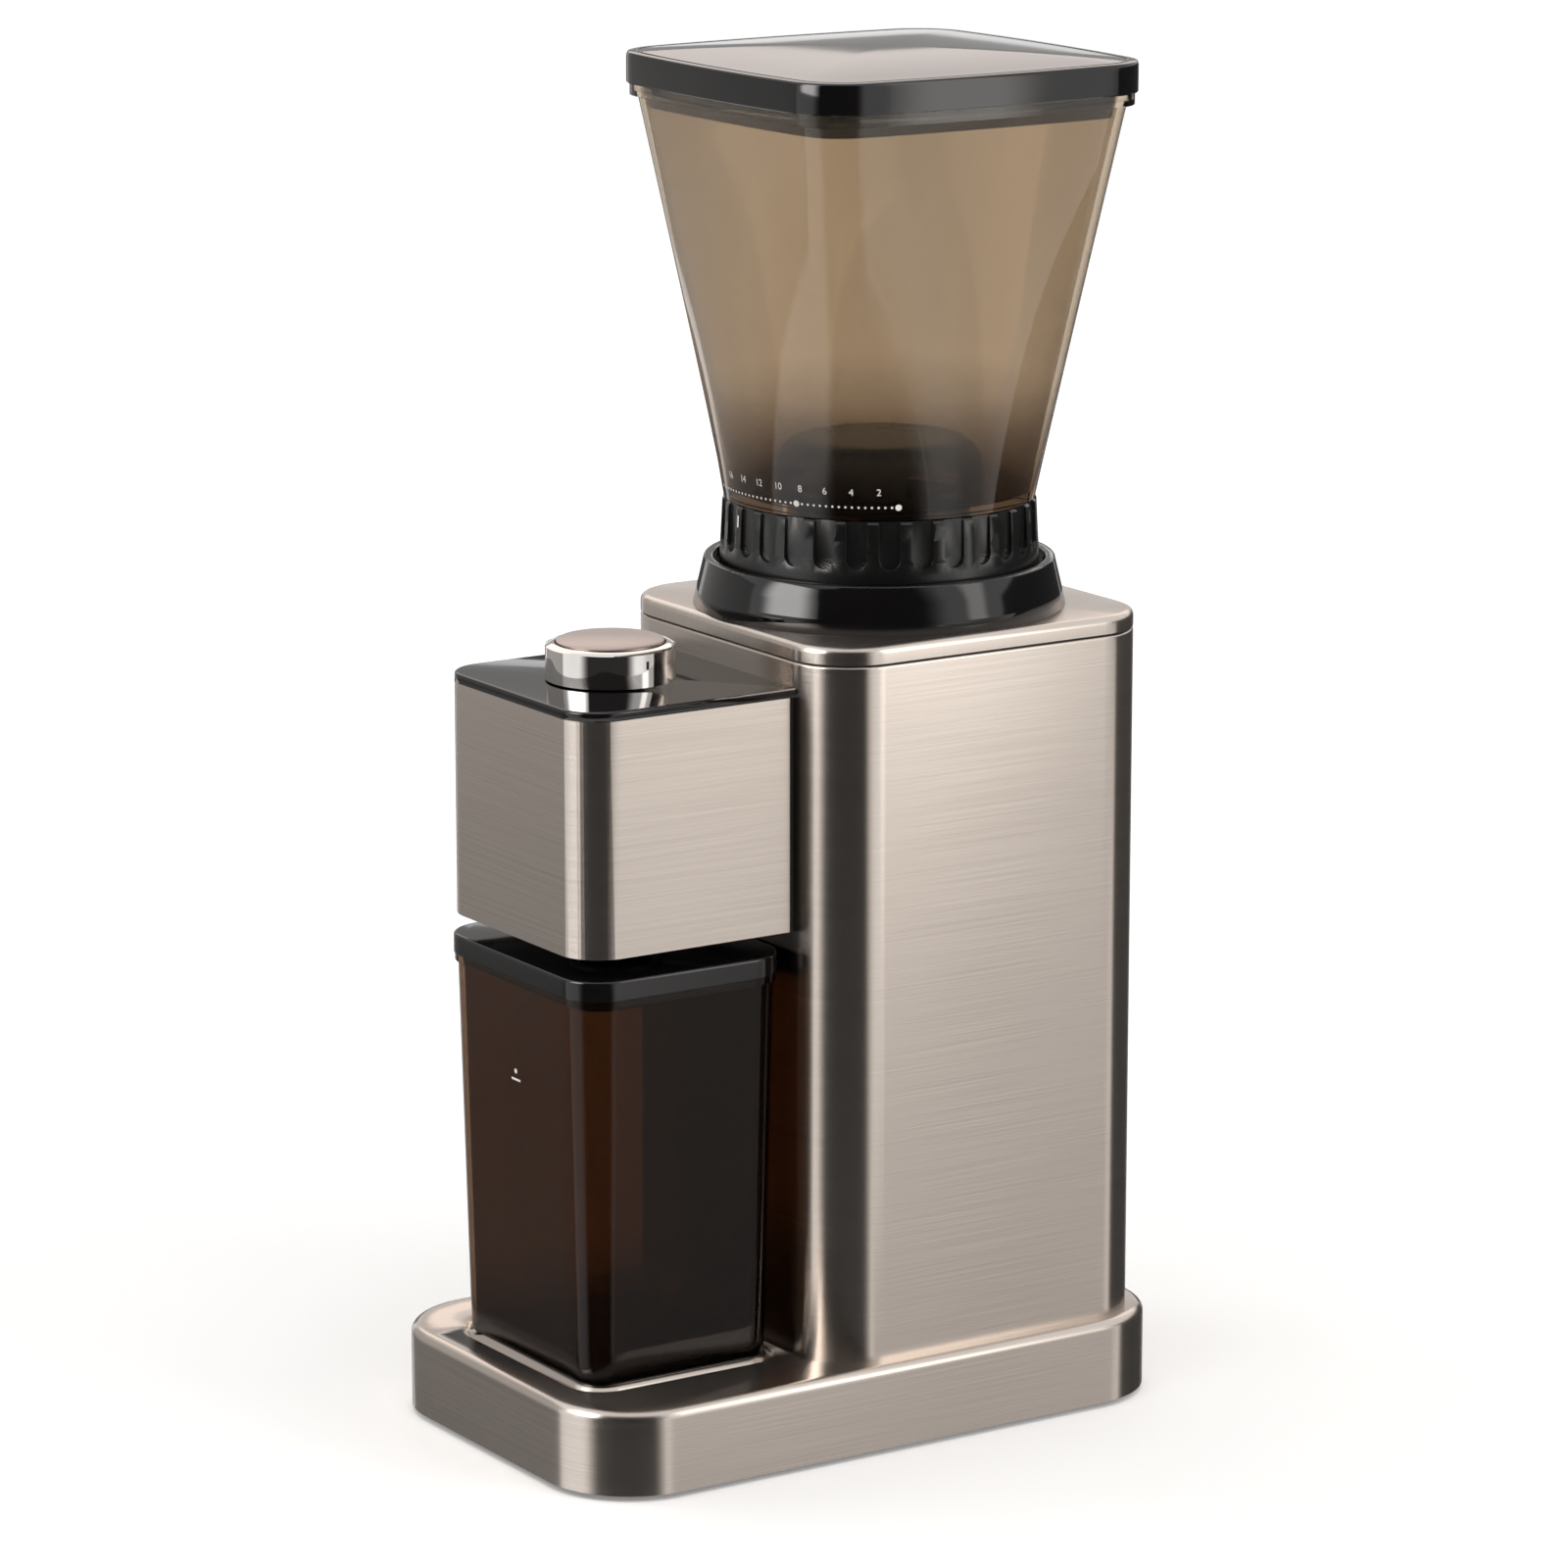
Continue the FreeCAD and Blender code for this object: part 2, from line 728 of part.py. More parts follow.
def make_base_plate():
    body = new_body("base_plate")
    inset = s.sheet + s.panel_gap
    panel = new_sketch(body, "XY_Plane", bottom_low)
    draw_centred_block(panel, s.base_width - inset * 2, s.base_length - inset * 2, s.base_corner - inset)
    pad(body, panel, s.bottom_thickness)
    bosses = new_sketch(body, "XY_Plane", bottom_high)
    for x, y in four_places(s.boss_spread, s.boss_stagger):
        draw_circle(bosses, x, y, s.boss_radius)
    pad(body, bosses, deck_underside - bottom_high)
    standoffs = new_sketch(body, "XY_Plane", bottom_high)
    spread = s.power_board_width - s.standoff_radius * 4
    depth = s.power_board_depth - s.standoff_radius * 4
    for x, y in four_places(spread, depth):
        draw_circle(standoffs, x, y, s.standoff_radius)
    pad(body, standoffs, s.board_lift)
    holes = new_sketch(body, "XY_Plane", bottom_low)
    for x, y in four_places(s.foot_spread, s.foot_stagger):
        draw_circle(holes, x, y, s.foot_peg_radius)
    pocket(body, holes, s.bottom_thickness, along_normal=True)
    screw_holes = new_sketch(body, "XY_Plane", bottom_low)
    for x, y in four_places(s.boss_spread, s.boss_stagger):
        draw_circle(screw_holes, x, y, s.screw_radius)
    pocket(body, screw_holes, deck_underside - bottom_low, along_normal=True)
    vent = new_sketch(body, "XY_Plane", bottom_low)
    first = counter_y - s.vent_pitch * (s.vent_count - 1) / 2
    for number in range(int(s.vent_count.value)):
        middle = first + s.vent_pitch * number
        draw_block(vent, -s.vent_length / 2, s.vent_length / 2,
                   middle - s.vent_width / 2, middle + s.vent_width / 2)
    pocket(body, vent, s.bottom_thickness, along_normal=True)


def make_rubber_feet():
    low = bottom_low.value
    high = bottom_high.value
    wide = s.foot_radius.value
    peg = s.foot_peg_radius.value
    feet = []
    for x, y in four_places(s.foot_spread, s.foot_stagger):
        foot = turned([(0, 0), (wide, 0), (wide, low), (peg, low), (peg, high), (0, high)])
        foot.translate(Vector(x.value, y.value, 0))
        feet.append(foot)
    new_piece("rubber_feet", Part.makeCompound(feet))


def make_base_screws():
    head = bottom_low.value - s.screw_head.value
    places = [(x.value, y.value, head) for x, y in four_places(s.boss_spread, s.boss_stagger)]
    shape = screws_at(places, head, deck_underside.value, s.screw_radius.value)
    new_piece("base_screws", shape)


def make_frame_screws():
    head = deck_underside.value - s.screw_head.value
    places = [(x.value, y.value, head) for x, y in post_places()]
    end = base_top.value + s.frame_screw_depth.value
    new_piece("frame_screws", screws_at(places, head, end, s.frame_screw_radius.value))


def make_cord_gland():
    body = new_body("cord_gland", base_back, s.cord_height)
    nose = new_sketch(body, "XZ_Plane")
    draw_circle(nose, 0.0, 0.0, s.gland_nose_radius)
    pad(body, nose, s.gland_length)
    flange = new_sketch(body, "XZ_Plane", s.sheet)
    draw_circle(flange, 0.0, 0.0, s.gland_flange_radius)
    pad(body, flange, s.gland_flange)
    bore = new_sketch(body, "XZ_Plane")
    draw_circle(bore, 0.0, 0.0, s.cord_bore_radius)
    pocket(body, bore, s.gland_length, along_normal=True)


def make_power_board():
    body = new_body("power_board", 0.0, bottom_high + s.board_lift)
    board = new_sketch(body, "XY_Plane")
    draw_centred_block(board, s.power_board_width, s.power_board_depth)
    pad(body, board, s.board_thickness)
    transformer = new_sketch(body, "XY_Plane", s.board_thickness)
    half = s.transformer_width / 2
    draw_block(transformer, s.transformer_x - half, s.transformer_x + half,
               -s.transformer_depth / 2, s.transformer_depth / 2)
    pad(body, transformer, s.transformer_height)
    capacitors = new_sketch(body, "XY_Plane", s.board_thickness)
    for side in (-1.0, 1.0):
        draw_circle(capacitors, s.capacitor_x, s.capacitor_spread / 2 * side, s.capacitor_radius)
    pad(body, capacitors, s.capacitor_height)


# Tower: steel sleeve, gasket, top plate and the frame inside
window_high = head_top - s.neck_window_drop
window_low = window_high - s.neck_window_height


def draw_window(sketch):
    """Opening between the tower and the head."""
    half = s.neck_window_width / 2
    draw_block(sketch, -half, half, window_low, window_high)


def head_screw_places():
    """Four screw places beside the opening, as (x, z)."""
    x = s.neck_window_width / 2 + s.screw_head_radius * 1.5
    inset = s.screw_head_radius * 2
    low = window_low + inset
    high = window_high - inset
    return [(-x, low), (x, low), (-x, high), (x, high)]


def make_tower_shell():
    body = new_body("tower_shell")
    outer = new_sketch(body, "XY_Plane", base_top)
    draw_tower_outline(outer, 0.0)
    pad(body, outer, s.tower_height)
    round_edges(body, s.tower_rim, at_level(tower_top))
    inner = new_sketch(body, "XY_Plane", base_top)
    draw_tower_outline(inner, s.sheet)
    pocket(body, inner, s.tower_height, along_normal=True)
    window = new_sketch(body, "XZ_Plane", -tower_front)
    draw_window(window)
    for x, z in head_screw_places():
        draw_circle(window, x, z, s.screw_radius)
    pocket(body, window, s.sheet * 2)


def make_top_gasket():
    body = new_body("top_gasket")
    ring = new_sketch(body, "XY_Plane", tower_top)
    draw_tower_outline(ring, s.seam_inset)
    draw_tower_outline(ring, s.seam_inset + s.sheet * 2)
    pad(body, ring, s.seam_gap)


def make_top_plate():
    body = new_body("top_plate")
    outer = new_sketch(body, "XY_Plane", plate_bottom)
    draw_tower_outline(outer, 0.0)
    pad(body, outer, s.plate_height)
    round_edges(body, s.plate_edge, at_level(plate_top))
    inner = new_sketch(body, "XY_Plane", plate_bottom)
    draw_tower_outline(inner, s.sheet * 2)
    pocket(body, inner, s.plate_height - s.sheet, along_normal=True)
    hole = new_sketch(body, "XY_Plane", plate_top)
    draw_circle(hole, 0.0, axis_y, s.collar_spigot_radius + s.spigot_gap)
    pocket(body, hole, s.sheet * 2)


def mill_screw_places():
    """Four places under the mill's flange, between its wall and its edge."""
    reach = (mill_outer + s.mill_flange_radius) / 2 * math.sqrt(0.5)
    return [(x, axis_y + y) for x, y in four_places(reach * 2, reach * 2)]


def make_inner_frame():
    body = new_body("inner_frame")
    deck_low = flange_bottom - s.frame_deck
    deck = new_sketch(body, "XY_Plane", deck_low)
    draw_tower_outline(deck, s.sheet + s.frame_gap)
    pad(body, deck, s.frame_deck)
    posts = new_sketch(body, "XY_Plane", base_top)
    for x, y in post_places():
        draw_circle(posts, x, y, s.post_radius)
    pad(body, posts, deck_low - base_top)
    hole = new_sketch(body, "XY_Plane", deck_low)
    draw_circle(hole, 0.0, axis_y, mill_outer + s.frame_gap)
    pocket(body, hole, s.frame_deck, along_normal=True)
    slot = new_sketch(body, "XY_Plane", deck_low)
    half = s.port_width / 2 + s.port_wall + s.frame_gap
    draw_block(slot, -half, half, tower_front, axis_y)
    pocket(body, slot, s.frame_deck, along_normal=True)
    screw_holes = new_sketch(body, "XY_Plane", deck_low)
    for x, y in mill_screw_places():
        draw_circle(screw_holes, x, y, s.screw_radius)
    pocket(body, screw_holes, s.frame_deck, along_normal=True)
    foot_holes = new_sketch(body, "XY_Plane", base_top)
    for x, y in post_places():
        draw_circle(foot_holes, x, y, s.frame_screw_radius)
    pocket(body, foot_holes, s.frame_screw_depth, along_normal=True)


# Collar, adjusting ring and mill
def make_collar():
    body = new_body("collar", axis_y)
    inside = s.collar_top_radius - s.collar_lip
    revolve(body, [
        (s.collar_foot_radius, plate_top),
        (s.collar_top_radius, collar_top),
        (inside, collar_top),
        (inside, ring_bottom),
        (s.collar_bore_radius, ring_bottom),
        (s.collar_bore_radius, flange_top),
        (s.collar_spigot_radius, flange_top),
        (s.collar_spigot_radius, plate_top),
    ])
    round_edges(body, s.collar_lip / 4, at_level(collar_top))


def draw_flute(sketch):
    """Grip flute, open at the top of the ring and round at its foot."""
    half = s.flute_width.value / 2
    foot = (ring_top - s.flute_foot + s.flute_width / 2)
    top = ring_top + s.ring_bevel
    centre = Vector(0, foot.value, 0)
    arc = sketch.addGeometry(Part.ArcOfCircle(Part.Circle(centre, UP, half), math.pi, math.pi * 2))
    corners = [Vector(half, foot.value, 0), Vector(half, top.value, 0),
               Vector(-half, top.value, 0), Vector(-half, foot.value, 0)]
    right, across, left = (sketch.addGeometry(Part.LineSegment(a, b)) for a, b in zip(corners, corners[1:]))
    constrain(sketch, "Tangent", arc, 2, right, 1)
    constrain(sketch, "Coincident", right, 2, across, 1)
    constrain(sketch, "Coincident", across, 2, left, 1)
    constrain(sketch, "Tangent", left, 2, arc, 1)
    constrain(sketch, "Vertical", right)
    constrain(sketch, "Vertical", left)
    constrain(sketch, "Horizontal", across)
    constrain(sketch, "Radius", arc, length=s.flute_width / 2)
    constrain(sketch, "DistanceX", -1, 1, arc, 3, length=0.0)
    constrain(sketch, "DistanceY", -1, 1, arc, 3, length=foot)
    constrain(sketch, "DistanceY", -1, 1, right, 2, length=top)


def make_adjust_ring():
    body = new_body("adjust_ring", axis_y)
    groove_top = ring_bottom + s.ring_groove_height
    outline = revolve(body, [
        (s.ring_foot_radius, ring_bottom),
        (s.ring_top_radius, ring_top - s.ring_bevel),
        (s.ring_top_radius - s.ring_bevel, ring_top),
        (s.ring_bore_radius, ring_top),
        (s.ring_bore_radius, groove_top),
        (s.ring_groove_radius, groove_top),
        (s.ring_groove_radius, ring_bottom),
    ])
    start = s.ring_foot_radius + s.flute_depth
    flute = new_sketch(body, "XZ_Plane", start)
    draw_flute(flute)
    cut = pocket(body, flute, start - s.ring_top_radius + s.flute_depth)
    repeat_round(body, cut, outline, s.flute_count)


lug_low = burr_bottom + s.lug_lift
port_low = mill_inside + s.sweeper_lift
port_high = port_low + s.port_height


def make_mill_housing():
    body = new_body("mill_housing", axis_y)
    seat_top = mill_bottom + s.bearing_width
    shaft_hole = s.shaft_radius + s.shaft_clearance
    outline = revolve(body, [
        (s.bearing_radius, mill_bottom),
        (mill_outer, mill_bottom),
        (mill_outer, flange_bottom),
        (s.mill_flange_radius, flange_bottom),
        (s.mill_flange_radius, flange_top),
        (mill_outer, flange_top),
        (mill_outer, hopper_bottom),
        (s.mill_bore_radius, hopper_bottom),
        (s.mill_bore_radius, mill_inside),
        (shaft_hole, mill_inside),
        (shaft_hole, seat_top),
        (s.bearing_radius, seat_top),
    ])
    nozzle = new_sketch(body, "XZ_Plane", s.port_reach)
    half = s.port_width / 2 + s.port_wall
    draw_block(nozzle, -half, half, port_low - s.port_wall, port_high + s.port_wall)
    feature = pad(body, nozzle, s.port_reach - s.mill_bore_radius + s.mill_wall)
    feature.Reversed = True
    bore = new_sketch(body, "XY_Plane", hopper_bottom)
    draw_circle(bore, 0.0, 0.0, s.mill_bore_radius)
    pocket(body, bore, hopper_bottom - mill_inside)
    port = new_sketch(body, "XZ_Plane", s.port_reach)
    draw_block(port, -s.port_width / 2, s.port_width / 2, port_low, port_high)
    pocket(body, port, s.port_reach)
    screw_holes = new_sketch(body, "XY_Plane", flange_bottom)
    for x, y in mill_screw_places():
        draw_circle(screw_holes, x, y - axis_y, s.screw_radius)
    pocket(body, screw_holes, s.mill_flange - s.sheet, along_normal=True)
    slot = new_sketch(body, "XZ_Plane", mill_outer + s.running_gap)
    half_slot = s.lug_width / 2 + s.running_gap
    draw_block(slot, -half_slot, half_slot, lug_low - s.lug_play, lug_low + s.lug_height + s.lug_play)
    cut = pocket(body, slot, s.mill_wall * 2)
    repeat_round(body, cut, outline, 3.0)


def make_mill_screws():
    head = (flange_bottom - s.frame_deck - s.screw_head).value
    places = [(x.value, y.value, head) for x, y in mill_screw_places()]
    end = (flange_top - s.sheet).value
    new_piece("mill_screws", screws_at(places, head, end, s.screw_radius.value))


def make_burr_carrier():
    body = new_body("burr_carrier", axis_y)
    outer = s.mill_bore_radius - s.bearing_play
    top = burr_bottom + s.carrier_height
    seat = burr_bottom + s.burr_height
    outline = revolve(body, [
        (s.burr_radius, burr_bottom),
        (outer, burr_bottom),
        (outer, top),
        (s.funnel_radius, top),
        (s.throat_radius, top - s.funnel_depth),
        (s.throat_radius, seat),
        (s.burr_radius, seat),
    ])
    lug = new_sketch(body, "XZ_Plane", s.lug_reach)
    draw_block(lug, -s.lug_width / 2, s.lug_width / 2, lug_low, lug_low + s.lug_height)
    feature = pad(body, lug, s.lug_reach - outer + s.mill_wall / 2)
    feature.Reversed = True
    repeat_round(body, feature, outline, 3.0)


def polar(radius, angle, height=0.0):
    """Point at a radius and an angle about the upright axis."""
    return Vector(radius * math.cos(angle), radius * math.sin(angle), height)


def tooth_cutters(count, low, high, lean, outward):
    """Wedges that cut slanting burr teeth.

    low and high are (height, surface radius, depth) of a wedge's two ends, lean is the angle that it
    turns between them, and outward says whether it bites away from the axis or towards it.
    """
    side = 1.0 if outward else -1.0
    width = 2 * math.pi / count * GROOVE_SHARE
    wedges = []
    for number in range(count):
        start = 2 * math.pi * number / count
        ends = []
        for (height, radius, depth), angle in ((low, start), (high, start + lean)):
            root = polar(radius + side * depth, angle, height)
            surface = radius - side * CUTTER_PROUD
            left = polar(surface, angle - width * LEADING_SHARE, height)
            right = polar(surface, angle + width * (1 - LEADING_SHARE), height)
            ends.append(Part.makePolygon([root, left, right, root]))
        wedges.append(Part.makeLoft(ends, True, True))
    return wedges


def line_at(low, high, height):
    """Radius at a height on the straight line between two (radius, height) places."""
    share = (height - low[1]) / (high[1] - low[1])
    return low[0] + share * (high[0] - low[0])


def toothed(profile, foot, band, top, outward):
    """Burr of a turned profile with coarse breaking teeth above and fine finishing teeth below."""
    overrun = 1.0
    lean = math.radians(s.tooth_lead.value)
    coarse_low = band[1] / 2
    low = (coarse_low, line_at(foot, band, coarse_low), COARSE_FOOT)
    high = (top[1] + overrun, line_at(band, top, top[1] + overrun), s.coarse_depth.value)
    coarse = tooth_cutters(int(s.coarse_teeth.value), low, high, lean, outward)
    fine_low = (-overrun, line_at(foot, band, -overrun), s.fine_depth.value)
    fine_top = band[1] + overrun
    fine_high = (fine_top, line_at(band, top, fine_top), s.fine_depth.value)
    fine = tooth_cutters(int(s.fine_teeth.value), fine_low, fine_high, lean / 3, outward)
    return turned(profile).cut(coarse + fine)


def make_ring_burr():
    gap = s.burr_gap.value
    foot = (s.cone_foot_radius.value + gap, 0.0)
    band = (s.cone_band_radius.value + gap, s.burr_band.value)
    top = (s.ring_burr_mouth.value, s.burr_height.value)
    outer = s.burr_radius.value
    profile = [foot, (outer, 0.0), (outer, top[1]), top, band]
    new_piece("ring_burr", toothed(profile, foot, band, top, True), axis_y, burr_bottom)


def make_cone_burr():
    foot = (s.cone_foot_radius.value, 0.0)
    band = (s.cone_band_radius.value, s.burr_band.value)
    top = (s.cone_top_radius.value, s.cone_height.value)
    bore = s.shaft_radius.value
    profile = [(bore, 0.0), foot, band, top, (bore, top[1])]
    new_piece("cone_burr", toothed(profile, foot, band, top, False), axis_y, burr_bottom)


def make_sweeper():
    body = new_body("sweeper", axis_y)
    low = mill_inside + s.sweeper_lift
    disc_top = low + s.sweeper_disc
    edge = s.mill_bore_radius - s.sweeper_gap
    outline = revolve(body, [
        (s.shaft_radius, low),
        (edge, low),
        (edge, disc_top),
        (s.sweeper_hub_radius, disc_top),
        (s.sweeper_hub_radius, burr_bottom),
        (s.shaft_radius, burr_bottom),
    ])
    paddle = new_sketch(body, "XY_Plane", disc_top)
    draw_block(paddle, s.sweeper_hub_radius - s.sweeper_gap, edge - s.sweeper_gap,
               -s.paddle_thickness / 2, s.paddle_thickness / 2)
    feature = pad(body, paddle, s.paddle_height)
    repeat_round(body, feature, outline, s.paddle_count)


def make_drive_shaft():
    body = new_body("drive_shaft", axis_y)
    hole_foot = cone_top - s.burr_screw_depth
    revolve(body, [
        (0.0, shaft_bottom),
        (s.shaft_radius, shaft_bottom),
        (s.shaft_radius, cone_top),
        (s.burr_screw_radius, cone_top),
        (s.burr_screw_radius, hole_foot),
        (0.0, hole_foot),
    ])


def make_burr_screw():
    body = new_body("burr_screw", axis_y)
    revolve(body, [
        (0.0, cone_top - s.burr_screw_depth),
        (s.burr_screw_radius, cone_top - s.burr_screw_depth),
        (s.burr_screw_radius, cone_top),
        (s.burr_screw_head_radius, cone_top),
        (s.burr_screw_head_radius, cone_top + s.burr_screw_head),
        (0.0, cone_top + s.burr_screw_head),
    ])
    round_edges(body, s.burr_screw_head / 4, at_level(cone_top + s.burr_screw_head))


def make_bearing(name, low):
    """Ball bearing with its races and recessed shields."""
    body = new_body(name, axis_y)
    bore = s.shaft_radius + s.bearing_play
    inner_race = bore + s.bearing_width / 4
    outer_race = s.bearing_radius - s.bearing_width / 4
    high = low + s.bearing_width
    recess = s.bearing_width / 12
    revolve(body, [
        (bore, low),
        (inner_race, low),
        (inner_race, low + recess),
        (outer_race, low + recess),
        (outer_race, low),
        (s.bearing_radius, low),
        (s.bearing_radius, high),
        (outer_race, high),
        (outer_race, high - recess),
        (inner_race, high - recess),
        (inner_race, high),
        (bore, high),
    ])


# Gear train and motor
def tooth_half_angle(teeth, radius):
    """Half the angle that a tooth fills at a radius, on involute flanks with backlash."""
    module = s.gear_module.value
    pitch_radius = teeth * module / 2
    base_radius = pitch_radius * math.cos(PRESSURE_ANGLE)
    roll = math.acos(min(1.0, base_radius / radius))
    thickness = math.pi * module / 2 - s.gear_backlash.value / 2
    flank = math.tan(PRESSURE_ANGLE) - PRESSURE_ANGLE - (math.tan(roll) - roll)
    return thickness / 2 / pitch_radius + flank


def spur_gear(teeth, width, phase):
    """Solid spur gear standing on the plan, with one tooth pointing along the phase angle."""
    module = s.gear_module.value
    pitch_radius = teeth * module / 2
    tip = pitch_radius + ADDENDUM * module
    root = pitch_radius - DEDENDUM * module
    foot = max(root, pitch_radius * math.cos(PRESSURE_ANGLE))
    middle = (foot + tip) / 2
    step = 2 * math.pi / teeth
    edges = []
    for number in range(teeth):
        centre = phase + number * step

        def flank(radius, side):
            return polar(radius, centre + side * tooth_half_angle(teeth, radius))
        foot_angle = tooth_half_angle(teeth, foot)
        rising = polar(root, centre - foot_angle)
        falling = polar(root, centre + foot_angle)
        if foot > root:
            edges.append(Part.LineSegment(rising, flank(foot, -1)).toShape())
        edges.append(Part.Arc(flank(foot, -1), flank(middle, -1), flank(tip, -1)).toShape())
        edges.append(Part.Arc(flank(tip, -1), polar(tip, centre), flank(tip, 1)).toShape())
        edges.append(Part.Arc(flank(tip, 1), flank(middle, 1), flank(foot, 1)).toShape())
        if foot > root:
            edges.append(Part.LineSegment(flank(foot, 1), falling).toShape())
        valley = polar(root, centre + step / 2)
        edges.append(Part.Arc(falling, valley, polar(root, centre + step - foot_angle)).toShape())
    return Part.Face(Part.Wire(edges)).extrude(Vector(0, 0, width))


# Angle towards the countershaft, seen from the main axis, and back again
TOWARDS = math.pi / 2
BACK = -math.pi / 2


def bored(shape, radius, low, height):
    """Shape with a round hole up its axis."""
    return shape.cut(Part.makeCylinder(radius, height, Vector(0, 0, low)))


def make_output_gear():
    width = s.wheel_face.value
    gear = spur_gear(int(s.wheel_teeth.value), width, TOWARDS)
    new_piece("output_gear", bored(gear, s.shaft_radius.value, 0.0, width), axis_y, wheel_low)


def make_motor_pinion():
    width = s.pinion_face.value
    gear = spur_gear(int(s.pinion_teeth.value), width, TOWARDS)
    new_piece("motor_pinion", bored(gear, s.motor_shaft_radius.value, 0.0, width), axis_y, pinion_low)


def make_compound_gear():
    wheel_teeth = int(s.wheel_teeth.value)
    pinion_teeth = int(s.pinion_teeth.value)
    wheel_width = s.wheel_face.value
    low = pinion_low + s.gear_gap / 2
    top = (cover_bottom - s.gear_gap / 2 - low).value
    wheel = spur_gear(wheel_teeth, wheel_width, BACK + math.pi / wheel_teeth)
    pinion = spur_gear(pinion_teeth, top - wheel_width, BACK + math.pi / pinion_teeth)
    pinion.translate(Vector(0, 0, wheel_width))
    hub_drop = (low - gearbox_inside - s.running_gap).value
    hub = Part.makeCylinder(s.pin_radius.value * 2, hub_drop, Vector(0, 0, -hub_drop))
    gear = wheel.fuse([pinion, hub])
    bore = s.pin_radius.value + s.bearing_play.value
    new_piece("compound_gear", bored(gear, bore, -hub_drop, top + hub_drop), counter_y, low)


wheel_tip = s.gear_module * s.wheel_teeth / 2 + s.gear_module * ADDENDUM
gearbox_inner = wheel_tip + s.gearbox_clearance
gearbox_outer = gearbox_inner + s.gearbox_wall
ear_x = gearbox_outer + s.ear_reach


def draw_stadium(sketch, length, radius):
    """Outline round two axes: the sketch's origin and a place behind it."""
    size = value_of(radius)
    back = value_of(length)
    near = Part.ArcOfCircle(Part.Circle(Vector(0, 0, 0), UP, size), math.pi, math.pi * 2)
    far = Part.ArcOfCircle(Part.Circle(Vector(0, back, 0), UP, size), 0, math.pi)
    near = sketch.addGeometry(near)
    right = sketch.addGeometry(Part.LineSegment(Vector(size, 0, 0), Vector(size, back, 0)))
    far = sketch.addGeometry(far)
    left = sketch.addGeometry(Part.LineSegment(Vector(-size, back, 0), Vector(-size, 0, 0)))
    ring = [near, right, far, left]
    for item, following in zip(ring, ring[1:] + ring[:1]):
        constrain(sketch, "Tangent", item, 2, following, 1)
    for arc, y in ((near, 0.0), (far, length)):
        constrain(sketch, "Radius", arc, length=radius)
        constrain(sketch, "DistanceX", -1, 1, arc, 3, length=0.0)
        constrain(sketch, "DistanceY", -1, 1, arc, 3, length=y)


def ear_places():
    """Screw ears at both ends of the gearbox's straight sides."""
    return [(-ear_x, 0.0), (ear_x, 0.0), (-ear_x, gear_spacing), (ear_x, gear_spacing)]


def add_gearbox_block(body, low, height):
    """Gearbox outline with its screw ears, raised from a level."""
    outline = new_sketch(body, "XY_Plane", low)
    draw_stadium(outline, gear_spacing, gearbox_outer)
    pad(body, outline, height)
    ears = new_sketch(body, "XY_Plane", low)
    for x, y in ear_places():
        draw_circle(ears, x, y, s.ear_radius)
    pad(body, ears, height)


def add_ear_holes(body, low, height):
    holes = new_sketch(body, "XY_Plane", low)
    for x, y in ear_places():
        draw_circle(holes, x, y, s.screw_radius)
    pocket(body, holes, height, along_normal=True)


def make_gearbox_cover():
    body = new_body("gearbox_cover", axis_y)
    add_gearbox_block(body, cover_bottom, s.gearbox_cover)
    add_ear_holes(body, cover_bottom, s.gearbox_cover / 2)
    seat = new_sketch(body, "XY_Plane", cover_bottom)
    draw_circle(seat, 0.0, 0.0, s.bearing_radius)
    pocket(body, seat, s.bearing_width, along_normal=True)
    hole = new_sketch(body, "XY_Plane", cover_bottom)
    draw_circle(hole, 0.0, 0.0, s.shaft_radius + s.shaft_clearance)
    pocket(body, hole, s.gearbox_cover, along_normal=True)
    pin = new_sketch(body, "XY_Plane", cover_bottom)
    draw_circle(pin, 0.0, gear_spacing, s.pin_radius)
    pocket(body, pin, s.gearbox_cover / 2, along_normal=True)


def motor_screw_x():
    """How far the motor's two screws stand from its axis."""
    return (s.motor_boss_radius + s.motor_radius) / 2


def make_gearbox_case():
    body = new_body("gearbox_case", axis_y)
    add_gearbox_block(body, gearbox_bottom, cover_bottom - gearbox_bottom)
    add_ear_holes(body, gearbox_bottom, cover_bottom - gearbox_bottom)
    inside = new_sketch(body, "XY_Plane", gearbox_inside)
    draw_stadium(inside, gear_spacing, gearbox_inner)
    pocket(body, inside, cover_bottom - gearbox_inside, along_normal=True)
    holes = new_sketch(body, "XY_Plane", gearbox_bottom)
    draw_circle(holes, 0.0, 0.0, s.motor_boss_radius)
    draw_circle(holes, 0.0, gear_spacing, s.pin_radius)
    for side in (-1.0, 1.0):
        draw_circle(holes, motor_screw_x() * side, 0.0, s.screw_radius)
    pocket(body, holes, s.gearbox_floor, along_normal=True)


def make_gearbox_screws():
    head = (gearbox_bottom - s.screw_head).value
    places = [(value_of(x), axis_y.value + value_of(y), head) for x, y in ear_places()]
    end = (cover_bottom + s.gearbox_cover / 2).value
    new_piece("gearbox_screws", screws_at(places, head, end, s.screw_radius.value))


def make_countershaft_pin():
    body = new_body("countershaft_pin", counter_y)
    top = cover_bottom + s.gearbox_cover / 2
    revolve(body, [(0.0, gearbox_bottom), (s.pin_radius, gearbox_bottom), (s.pin_radius, top), (0.0, top)])


